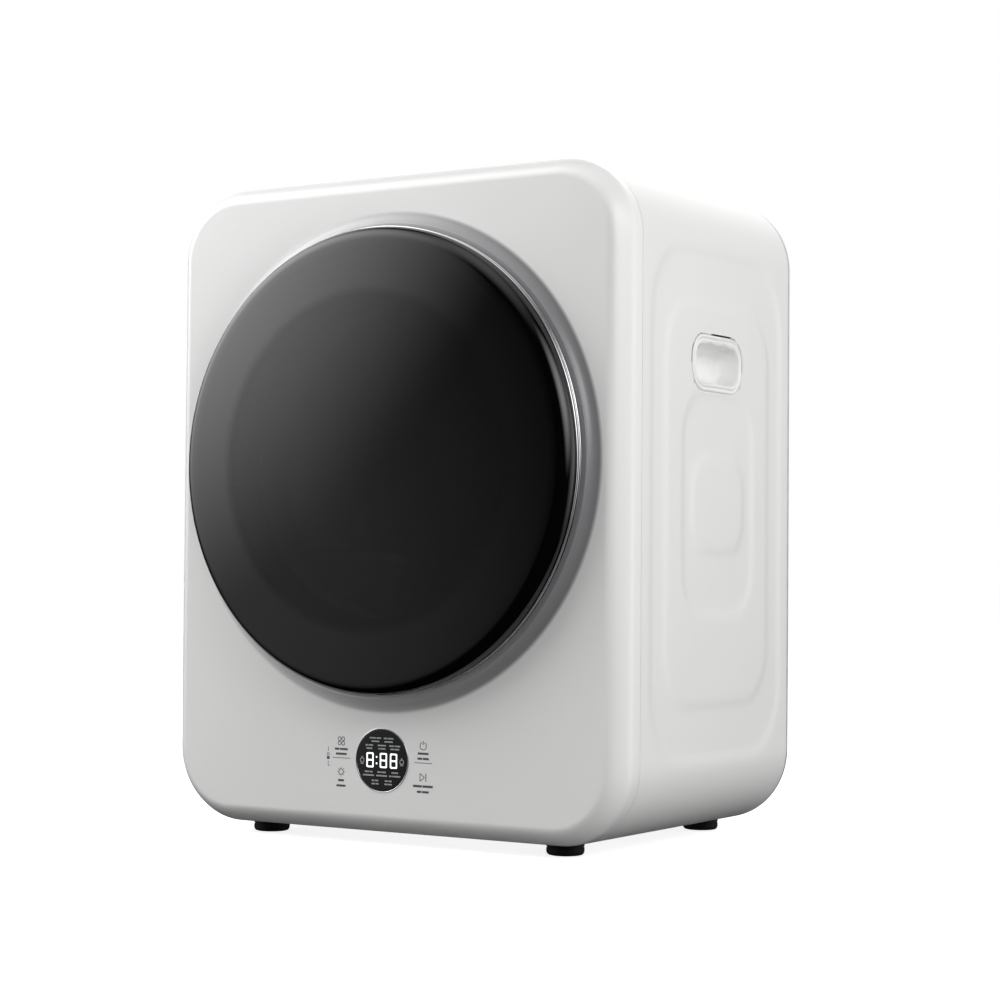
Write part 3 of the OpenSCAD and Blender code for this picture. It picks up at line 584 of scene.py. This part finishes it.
# %% One finish for each slot of the record, and the parts that keep their own shape
FINISHES = {
    "white_abs": painted_abs(), "white_enamel": white_enamel(), "zinc_sheet": galvanised(),
    "pale_plastic": pale_plastic(), "black_plastic": black_plastic(),
    "black_rubber": black_rubber(), "tinted_glass": tinted_glass(), "clear_glass": clear_glass(),
    "chrome": chrome(), "steel": stainless(), "zinc_plated": zinc_plate(),
    "cast_aluminium": cast_aluminium(), "ferrite": ferrite(), "felt": wool_felt(),
    "board": circuit_board(),
}
for part in frame["record"]["subparts"]:
    node = frame["nodes"][part["node"]]
    node.data.materials.clear()
    node.data.materials.append(FINISHES[part["material_slot"]])

# %% [markdown]
# ## The moulded front
# The front is one moulding: a crown that rolls from the flat face back to the seam, and a hollow
# flare that rises to the collar round the door. A box with a bevel would give the crown a round
# section, but the real one is flatter at the face, so a loop of edges is grown along a power curve.

# %% Front panel
CROWN_IN, CROWN_DEEP, CROWN_POWER, CROWN_STEPS = 18.0, 19.0, 2.1, 16
# inset from the section and depth behind the flat face, in mm, from the seam to the face
CROWN = [(0.0, 24.0), (0.03, 22.0), (0.15, 20.4), (0.4, 18.9)]
CROWN += [(CROWN_IN * k / CROWN_STEPS, CROWN_DEEP * (1 - k / CROWN_STEPS) ** CROWN_POWER)
          for k in range(1, CROWN_STEPS + 1)]
PANEL_WALL = 2.5 * MM
COLLAR_TOP = -8.0
FLARE = 13.5
COLLAR_FOOT = DOOR_R / MM + 16
COLLAR_LAND = 212
COLLAR_MOUTH = 206


def front_panel():
    """Crown, flat face with its display hole, flare and collar, then the wall."""
    bm = bmesh.new()
    loop = section(bm, 30, 24, SEAM)
    for inset, depth in CROWN:
        loop = grow(bm, loop, lambda co: on_section(co, inset * MM, depth * MM))
    outer = circle(bm, 0, AXIS_Z, (COLLAR_FOOT + 0.4) * MM, 0, 160)
    hole = circle(bm, 0, DISPLAY_Z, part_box("display_ring")[1].x, 0, 64)
    bmesh.ops.triangle_fill(bm, use_beauty=True, use_dissolve=False, edges=loop + outer + hole,
                            normal=(0, -1, 0))
    rise = arc(COLLAR_FOOT, -FLARE, FLARE, 90, 152, 10)
    top = arc(rise[-1][0] - 1.3, COLLAR_TOP + 1.5, 1.5, -30, -90, 5)
    for r, d in rise + top + [(COLLAR_LAND, COLLAR_TOP), (COLLAR_MOUTH, COLLAR_TOP)]:
        def ring(co, r=r, d=d):
            out = Vector((co.x, co.z - AXIS_Z)).normalized() * r * MM
            return Vector((out.x, FACE + d * MM, AXIS_Z + out.y))
        outer = grow(bm, outer, ring)
    bmesh.ops.remove_doubles(bm, verts=bm.verts, dist=0.01 * MM)
    bmesh.ops.recalc_face_normals(bm, faces=bm.faces)
    front = [f for f in bm.faces if abs(f.normal.y) > 0.9]
    if sum(f.normal.y * f.calc_area() for f in front) > 0:
        bmesh.ops.reverse_faces(bm, faces=bm.faces)
    panel = piece("front_moulding", bm, FINISHES["white_abs"], "cabinet",
                  ["front_panel"], angle=50)
    wall(panel, PANEL_WALL)
    return panel


panel = front_panel()
pin_low, pin_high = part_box("door_hinge_pin")
hinge = (pin_low + pin_high) / 2
SWING_R = 12.4 * MM
NOTCH_H = 116 * MM
carve(panel, rod_cutter(hinge, SWING_R, NOTCH_H), angle=50, solver="FAST")

# %% [markdown]
# ## The steel sleeve
# The sleeve is one bent sheet with two shallow sunk bands pressed into each side, which stop the
# wide walls from drumming. A texture could fake the bands, but their edges have to catch the light
# at any angle, so the sheet is drawn as a fine net and each point is sunk by a smooth rule.

# %% Pressed bands
PRESS_IN_D = (18, 43.5, 76.5, 94)
PRESS_IN_Z = (71, 118.5, 201.5, 257.5)
PRESS_CORNER = (64, 50, 40, 30)
PRESS_SINK = 1.0 * MM
PRESS_SOFT = 8 * MM
MID_D = (SHELL_FRONT + SHELL_REAR) / 2


def soft_step(value):
    """Eased step from 0 to 1."""
    t = max(0.0, min(1.0, value))
    return t * t * (3 - 2 * t)


def inside_round(d, z, half_d, half_z, corner):
    """Signed distance to a rounded rectangle, positive inside."""
    qd, qz = abs(d) - half_d + corner, abs(z) - half_z + corner
    outside = sqrt(max(qd, 0) ** 2 + max(qz, 0) ** 2)
    return corner - outside - min(max(qd, qz), 0)


def press(depth, z):
    """How far the side wall is sunk at a depth and a height above the middle."""
    sunk = 0.0
    for in_d, in_z, corner, sign in zip(PRESS_IN_D, PRESS_IN_Z, PRESS_CORNER, (1, -1, 1, -1)):
        half_d = (SHELL_REAR - SHELL_FRONT) / 2 - in_d * MM
        inside = inside_round(depth - MID_D, z, half_d, HALF_H - in_z * MM, corner * MM)
        sunk += sign * soft_step(inside / PRESS_SOFT + 0.5)
    return PRESS_SINK * sunk


def sleeve():
    """The section grown from front to back, sunk at the bands."""
    bm = bmesh.new()
    loop = section(bm, 110, 2, SHELL_FRONT)
    rows = 72
    for k in range(1, rows + 1):
        depth = SHELL_FRONT + (SHELL_REAR - SHELL_FRONT) * k / rows

        def row(co):
            on_side = abs(co.z - BODY_Z) < HALF_H - CORNER
            sunk = press(depth, co.z - BODY_Z) if on_side and abs(co.x) > HALF_W - CORNER else 0
            return on_section(co, sunk, depth)
        loop = grow(bm, loop, row)
    bmesh.ops.recalc_face_normals(bm, faces=bm.faces)
    return piece("steel_sleeve", bm, FINISHES["white_enamel"], "cabinet",
                 ["cabinet_shell"], angle=40)


shell = sleeve()

# %% [markdown]
# ## The hand grips
# Each grip is a moulded cup snapped into a hole in the side, with a rolled double bead round its
# mouth and a waved upper lip that the fingers hook behind. Growing a loop of edges inwards along
# one profile makes bead and cup together, without a joint between them.

# %% Grip cups
grip_low, grip_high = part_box("handle_cup_right")
GRIP_D = (grip_low.y + grip_high.y) / 2 - FACE
GRIP_Z = (grip_low.z + grip_high.z) / 2
GRIP_L = grip_high.y - grip_low.y
GRIP_H = grip_high.z - grip_low.z
GRIP_CORNER = 22 * MM
SHEET = 1.1 * MM
CUP_WALL = 1.6 * MM
MOUTH_IN = 4.5 * MM
MOUTH_REACH = 8 * MM
WAVE_PITCH = 26 * MM
# inset from the rim and height above the side wall, in mm
BEAD = [(0.0, -0.2), (0.3, 0.45), (1.0, 0.85), (1.9, 0.95), (2.8, 0.8), (3.4, 0.3), (3.9, 0.05),
        (4.4, 0.3), (5.0, 0.8), (5.9, 0.95), (6.7, 0.6), (7.3, -0.4)]
CUP = [(7.9, -2.5), (8.3, -6), (8.8, -10), (10, -14.5), (12.5, -18.5), (16, -20.8), (19.5, -21.6)]


def grip_outline(bm, length, height, corner, x):
    """A rounded rectangle of edges in a plane beside the cabinet."""
    corners = [bm.verts.new((x, FACE + GRIP_D + sy * length / 2, GRIP_Z + sz * height / 2))
               for sy, sz in ((-1, -1), (1, -1), (1, 1), (-1, 1))]
    bm.faces.new(corners)
    bmesh.ops.bevel(bm, geom=corners, offset=corner, offset_type="OFFSET", segments=14,
                    profile=0.5, affect="VERTICES", material=-1)
    bmesh.ops.delete(bm, geom=bm.faces[:], context="FACES_ONLY")
    runs = [e for e in bm.edges if e.calc_length() > 20 * MM]
    bmesh.ops.subdivide_edges(bm, edges=runs, cuts=26)
    return bm.edges[:]


def grip_cup(name, side, node):
    """Bead, waved lip and scooped cup."""
    bm = bmesh.new()
    loop = grip_outline(bm, GRIP_L, GRIP_H, GRIP_CORNER, HALF_W)
    half_l, half_h = GRIP_L / 2 - GRIP_CORNER, GRIP_H / 2 - GRIP_CORNER
    for inset, out in BEAD + CUP:
        waved = 1.0 if inset > 6 else 0.0
        hooked = max(0.0, 1 - abs(out + 4) / 7) if inset > 7 else 0.0

        def ring(co):
            flat = Vector((co.y - FACE - GRIP_D, co.z - GRIP_Z))
            core = Vector((max(-half_l, min(half_l, flat.x)), max(-half_h, min(half_h, flat.y))))
            spot = core + (flat - core).normalized() * (GRIP_CORNER - inset * MM)
            high = soft_step(spot.y / (6 * MM) - 1)
            wave = 1 + cos(2 * pi * spot.x / WAVE_PITCH)
            drop = high * (waved * 0.9 * wave + hooked * 2.2) * MM
            return Vector((HALF_W + out * MM, FACE + GRIP_D + spot.x, GRIP_Z + spot.y - drop))
        loop = grow(bm, loop, ring)
    bmesh.ops.edgenet_fill(bm, edges=loop)
    bmesh.ops.triangulate(bm, faces=[f for f in bm.faces if len(f.verts) > 4])
    if side < 0:
        bmesh.ops.scale(bm, vec=(-1, 1, 1), verts=bm.verts)
    bmesh.ops.recalc_face_normals(bm, faces=bm.faces)
    if sum(f.normal.x * f.calc_area() for f in bm.faces) * side < 0:
        bmesh.ops.reverse_faces(bm, faces=bm.faces)
    cup = piece(name, bm, FINISHES["white_abs"], "cabinet", [node], angle=60)
    wall(cup, CUP_WALL)
    smooth(cup, 60)
    return cup


wall(shell, SHEET)
for name, side in (("handle_cup_right", 1), ("handle_cup_left", -1)):
    mouth = bmesh.new()
    hole = grip_outline(mouth, GRIP_L - 2 * MOUTH_IN, GRIP_H - 2 * MOUTH_IN,
                        GRIP_CORNER - MOUTH_IN, side * (HALF_W - MOUTH_REACH))
    cap = bmesh.ops.edgenet_fill(mouth, edges=hole)["faces"]
    pushed = bmesh.ops.extrude_face_region(mouth, geom=cap)["geom"]
    bmesh.ops.translate(mouth, vec=(side * 2 * MOUTH_REACH, 0, 0),
                        verts=[g for g in pushed if isinstance(g, bmesh.types.BMVert)])
    bmesh.ops.recalc_face_normals(mouth, faces=mouth.faces)
    carve(shell, mouth, angle=40)
    grip_cup(name.replace("handle_cup", "grip_cup"), side, name)

# %% [markdown]
# ## The glass door
# The door is a pressed dome whose edge rolls back over a chrome ring. Seen from outside it is one
# unbroken black curve, so it is turned on a lathe from two arcs that share a tangent: a large one
# for the dome and a small one for the rolled edge. The window behind is a pressed glass bowl.

# %% Door glass
GLASS_T = 4.0
EDGE_ROLL = 14.0


def glass_profile():
    """Outer skin from the middle to the rim, then back along the inner skin, in mm."""
    rise = (RIM_D - DOME_D) / MM
    roll_r = GLASS_R / MM - EDGE_ROLL
    big = (roll_r ** 2 + rise ** 2 - EDGE_ROLL ** 2) / (2 * (rise - EDGE_ROLL))
    apex, rim = DOME_D / MM, RIM_D / MM
    meet = asin(roll_r / (big - EDGE_ROLL))
    steps = 26
    outer = [(big * sin(meet * k / steps), apex + big * (1 - cos(meet * k / steps)))
             for k in range(steps)]
    edge = [(roll_r + EDGE_ROLL * sin(t), rim - EDGE_ROLL * cos(t))
            for t in (meet + (pi / 2 - meet) * k / 12 for k in range(13))]
    small = EDGE_ROLL - GLASS_T
    back_edge = [(roll_r + small * sin(t), rim - small * cos(t))
                 for t in (meet + (pi / 2 - meet) * k / 8 for k in range(8, -1, -1))]
    inner = [((big - GLASS_T) * sin(meet * k / steps),
              apex + big - (big - GLASS_T) * cos(meet * k / steps))
             for k in range(steps - 1, -1, -1)]
    return outer + edge + back_edge + inner


piece("dome_glass", lathe(glass_profile(), closed=False), FINISHES["tinted_glass"], "door",
      ["door_glass"], angle=50)

# %% Pressed bowl behind the glass
BOWL_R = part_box("door_bowl")[1].x / MM - 10
BOWL_FRONT = (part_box("door_bowl")[0].y - FACE) / MM
BOWL_REAR = (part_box("door_bowl")[1].y - FACE) / MM


def bowl_profile():
    """Flange, side wall and rounded end, out along the front skin and back along the rear one."""
    front = [(0, BOWL_REAR - 3.2)] + arc(BOWL_R - 10, BOWL_REAR - 10, 6.8, 90, 0, 8)
    front += arc(BOWL_R + 1.8, BOWL_FRONT + 5, 5, 180, 270, 8) + [(BOWL_R + 9.6, BOWL_FRONT)]
    back = [(BOWL_R + 10, BOWL_FRONT + 0.4), (BOWL_R + 10, BOWL_FRONT + 2.6),
            (BOWL_R + 9.6, BOWL_FRONT + 3)]
    back += arc(BOWL_R + 2, BOWL_FRONT + 5, 2, 270, 180, 6)
    return front + back + arc(BOWL_R - 10, BOWL_REAR - 10, 10, 0, 90, 8) + [(0, BOWL_REAR)]


piece("pressed_bowl", lathe(bowl_profile(), closed=False), FINISHES["clear_glass"], "door",
      ["door_bowl"], angle=50)

# %% Chrome trim ring with two rolled beads
trim_front, trim_back = (corner.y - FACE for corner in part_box("door_trim_ring"))
TRIM_IN = 202.5
BEAD_R = 1.0


def trim_profile():
    """A flat band whose outer side carries two beads with a groove between, in mm."""
    front, back, outer = trim_front / MM, trim_back / MM, DOOR_R / MM
    first, second = front + BEAD_R + 0.15, back - BEAD_R - 0.15
    beads = (arc(outer - BEAD_R, first, BEAD_R, -90, 90, 10)
             + [(outer - 1.2, first + 1.3), (outer - 1.2, second - 1.3)]
             + arc(outer - BEAD_R, second, BEAD_R, -90, 90, 10))
    return [(TRIM_IN, front + 0.1)] + beads + [(TRIM_IN, back)]


trim = piece("chrome_trim_ring", lathe(trim_profile()), FINISHES["chrome"], "door",
             ["door_trim_ring"], angle=40)
leaf_low, leaf_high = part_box("door_hinge_leaf")
carve(trim, box_cutter((leaf_low.x - 0.4 * MM, FACE + trim_front + 0.3 * MM, leaf_low.z - 0.5 * MM),
                       (leaf_low.x + 22 * MM, FACE + 4 * MM, leaf_high.z + 0.5 * MM)), angle=40)
carve(trim, box_cutter((-DOOR_R - 4 * MM, hinge.y - 0.4 * MM, AXIS_Z - 10.6 * MM),
                       (-DOOR_R + 22 * MM, hinge.y + 12 * MM, AXIS_Z + 10.6 * MM)), angle=40)

# %% [markdown]
# ## Display and printed keys
# The display is a black window flush in the face, with lit digits. The keys beside it are only
# print over touch sensors. Raised print of a few hundredths of a millimetre is drawn as thin tiles,
# so it stays sharp from close by. Words are drawn as plain dashes, which nobody can read.

# %% Window and ring
WINDOW_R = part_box("display_window")[1].x / MM
RING_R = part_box("display_ring")[1].x / MM
window_profile = [(0, -0.4), (WINDOW_R - 0.5, -0.4)] + arc(WINDOW_R - 0.5, 0.1, 0.5, -80, 0, 5)
window_profile += [(WINDOW_R, 2.0), (0, 2.0)]
piece("display_glass", lathe(window_profile, z=DISPLAY_Z, steps=96, closed=False), display_glass(),
      "cabinet", ["display_window"])
ring_profile = arc((WINDOW_R + RING_R) / 2 + 0.1, 0, 0.6, -180, 0, 10)
ring_profile += [(RING_R, 2.4), (WINDOW_R + 0.1, 2.4)]
piece("display_bezel", lathe(ring_profile, z=DISPLAY_Z, steps=96), FINISHES["chrome"], "cabinet",
      ["display_ring"])


# %% Thin printed tiles
def tile(bm, x, z, width, height, depth, turn=0.0, thick=0.08):
    """A thin rectangle of print in front of a face, in mm about the cabinet's middle line."""
    place = (Matrix.Translation((x * MM, FACE + (depth - thick / 2) * MM, z * MM))
             @ Matrix.Rotation(radians(turn), 4, "Y")
             @ Matrix.Diagonal((width * MM, thick * MM, height * MM, 1)))
    bmesh.ops.create_cube(bm, size=1, matrix=place)


def bent_line(bm, x, z, radius, stroke, depth, start=0, end=360, steps=28):
    """A ring or an arc of print, made of short tiles."""
    length = 2 * pi * radius * (end - start) / 360 / steps
    for k in range(steps):
        a = radians(start + (end - start) * (k + 0.5) / steps)
        tile(bm, x + radius * cos(a), z + radius * sin(a), length * 1.08, stroke, depth,
             turn=90 - (start + (end - start) * (k + 0.5) / steps))


def dashes(bm, x, z, width, height, depth, cuts):
    """A line of words that nobody can read: dashes whose lengths are shares of the width."""
    gap = 0.7
    free = width - gap * (len(cuts) - 1)
    left = x - width / 2
    for share in cuts:
        length = free * share / sum(cuts)
        tile(bm, left + length / 2, z, length, height, depth)
        left += length + gap


# %% Lit digits
GLASS_FRONT = -0.4
DIGIT_W, DIGIT_H, STROKE = 8.0, 13.6, 1.5


def digit(bm, x, z):
    """An eight of seven rounded segments."""
    w, h = DIGIT_W - STROKE, DIGIT_H - STROKE
    for dz in (-h / 2, 0, h / 2):
        tile(bm, x, z + dz, w - 0.9, STROKE, GLASS_FRONT)
    for dx in (-w / 2, w / 2):
        for dz in (-h / 4, h / 4):
            tile(bm, x + dx, z + dz, STROKE, h / 2 - 0.5, GLASS_FRONT)
    for dx in (-w / 2, w / 2):
        for dz in (-h / 2, 0, h / 2):
            place = (Matrix.Translation(((x + dx * 0.94) * MM, FACE + (GLASS_FRONT - 0.04) * MM,
                                         (z + dz * 0.97) * MM))
                     @ Matrix.Rotation(radians(90), 4, "X"))
            bmesh.ops.create_cone(bm, cap_ends=True, segments=12, radius1=STROKE * 0.48 * MM,
                                  radius2=STROKE * 0.48 * MM, depth=0.08 * MM, matrix=place)


def lit(name, colour, strength):
    """A lit segment behind smoked acrylic: even, slightly cold glow."""
    mat, tree, shader = finish(name, colour, 0.5)
    shader.inputs["Emission Color"].default_value = linear(colour)
    shader.inputs["Emission Strength"].default_value = strength
    return mat


show_z = DISPLAY_Z / MM
bm = bmesh.new()
for x in (-13.0, 1.8, 13.0):
    digit(bm, x, show_z)
for dz in (-2.9, 2.9):
    bent_line(bm, -5.7, show_z + dz, 0.45, 0.9, GLASS_FRONT, steps=8)
piece("display_digits", bm, lit("white lit segments", "F4F6F8", 0.9), "cabinet")

bm = bmesh.new()
for x, dz, width, cuts in ((-7.3, 20.0, 12.6, (7, 5)), (-7.3, 17.0, 8.4, (1,)),
                           (7.3, 20.0, 10.8, (4, 6)), (7.3, 17.0, 9.0, (1,)),
                           (-14, 13.4, 8.4, (3, 5)), (-14, 10.5, 6.4, (1,)),
                           (0, 13.4, 9.0, (1,)), (0, 10.5, 8.0, (1, 4)),
                           (14.2, 13.4, 12.0, (5, 6)), (14.2, 10.5, 9.6, (4, 5)),
                           (-14.5, -10.6, 8.8, (5, 3)), (-14.5, -13.8, 12.2, (1,)),
                           (0, -10.6, 9.4, (4, 5)), (0, -13.8, 12.0, (1,)),
                           (14.5, -10.6, 7.4, (1,)), (14.5, -13.8, 12.2, (2, 7)),
                           (-7.3, -18.4, 7.4, (3, 4)), (-7.3, -21.3, 7.6, (4, 3)),
                           (7.3, -18.4, 7.6, (4, 3)), (7.3, -21.3, 8.0, (3, 4))):
    dashes(bm, x, show_z + dz, width, 1.3, GLASS_FRONT, cuts)
for x in (-21.8, 22.0):
    bent_line(bm, x, show_z - 0.6, 2.0, 0.8, GLASS_FRONT, steps=14)
    tile(bm, x, show_z + 2.4, 1.6, 1.0, GLASS_FRONT)
    tile(bm, x, show_z - 3.6, 3.4, 0.8, GLASS_FRONT)
piece("display_labels", bm, lit("dim lit labels", "8A8C8E", 0.28), "cabinet")

# %% Printed keys
KEY_LEFT, KEY_RIGHT, LOCK_X = -45.7, 45.0, -60.5
mid_z = BODY_Z / MM


def key_print():
    """Symbols, lines of dashes and underlines in dark grey ink."""
    bm = bmesh.new()
    ink = 0.0
    for dx in (-2.05, 2.05):
        for dz in (-2.05, 2.05):
            bent_line(bm, KEY_LEFT + dx, mid_z - 218.5 + dz, 1.65, 0.7, ink, steps=16)
    dashes(bm, KEY_LEFT, mid_z - 225.8, 14.6, 1.9, ink, (3, 5))
    dashes(bm, KEY_LEFT, mid_z - 230.2, 12.2, 1.9, ink, (1,))
    tile(bm, KEY_LEFT, mid_z - 233.9, 19.4, 0.55, ink)
    bent_line(bm, KEY_LEFT, mid_z - 246.5, 2.5, 0.75, ink, steps=20)
    for k in range(8):
        a = radians(45 * k)
        tile(bm, KEY_LEFT + 3.9 * cos(a), mid_z - 246.5 + 3.9 * sin(a), 1.1, 0.6, ink,
             turn=-45 * k)
    dashes(bm, KEY_LEFT, mid_z - 254.3, 6.6, 2.0, ink, (1,))
    dashes(bm, KEY_LEFT, mid_z - 259.2, 10.2, 1.9, ink, (1,))
    bent_line(bm, KEY_RIGHT, mid_z - 219, 3.4, 0.7, ink, start=115, end=425, steps=24)
    tile(bm, KEY_RIGHT, mid_z - 216.2, 0.7, 3.4, ink)
    dashes(bm, KEY_RIGHT, mid_z - 225.8, 11.6, 1.9, ink, (1,))
    dashes(bm, KEY_RIGHT, mid_z - 230.4, 12.2, 1.9, ink, (4, 5))
    tile(bm, KEY_RIGHT, mid_z - 234.2, 19.0, 0.55, ink)
    top, tip = mid_z - 247.0, KEY_RIGHT + 1.6
    for s in (-1, 1):
        tile(bm, (KEY_RIGHT - 3.2 + tip) / 2, top + s * 1.75, 5.9, 0.7, ink, turn=s * 36)
    tile(bm, KEY_RIGHT - 3.2, top, 0.7, 7.2, ink)
    tile(bm, KEY_RIGHT + 3.1, top, 0.8, 7.2, ink)
    dashes(bm, KEY_RIGHT, mid_z - 255.0, 21.4, 2.0, ink, (6, 7))
    dashes(bm, KEY_RIGHT, mid_z - 260.0, 12.8, 1.9, ink, (4, 6))
    for dz, length in ((-226.2, 4.0), (-239.4, 4.4)):
        tile(bm, LOCK_X, mid_z + dz, 0.5, length, ink)
    bent_line(bm, LOCK_X, mid_z - 231.0, 1.2, 0.55, ink, steps=14)
    tile(bm, LOCK_X, mid_z - 234.4, 3.2, 2.6, ink)
    tile(bm, LOCK_X + 0.9, mid_z - 241.5, 2.2, 0.5, ink)
    return bm


print_ink = finish("dark grey screen-print ink", "4A4B4D", 0.5)
grain(print_ink[1], print_ink[2], 0.4, 0.003, rough=(0.45, 0.6))
piece("key_print", key_print(), print_ink[0], "cabinet")

# %% [markdown]
# ## Feet
# The feet are small turned parts. A lathe profile gives each its rounded edges, which is what makes a
# small part look made and not drawn.

# %% Feet
foot_profile = [(0, 0), (13.6, 0), (15.4, 0.5), (16.5, 1.7), (17.0, 3.4), (17.0, 6.4), (16.4, 6.9),
                (16.4, 7.5), (17.0, 8.0), (17.0, 10.6), (16.6, 11.0), (0, 11.0)]
for node in ("foot_front_left", "foot_front_right", "foot_rear_left", "foot_rear_right"):
    low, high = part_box(node)
    bm = bmesh.new()
    verts = [bm.verts.new((r * MM, 0, h * MM)) for r, h in foot_profile]
    edges = [bm.edges.new(pair) for pair in zip(verts, verts[1:])]
    bmesh.ops.spin(bm, geom=verts + edges, cent=(0, 0, 0), axis=(0, 0, 1), angle=2 * pi, steps=64,
                   use_merge=True)
    bmesh.ops.remove_doubles(bm, verts=bm.verts, dist=WELD)
    bmesh.ops.recalc_face_normals(bm, faces=bm.faces)
    bmesh.ops.translate(bm, vec=((low.x + high.x) / 2, (low.y + high.y) / 2, 0), verts=bm.verts)
    piece(node.replace("foot", "rubber_foot"), bm, FINISHES["black_rubber"], "cabinet",
          [node])
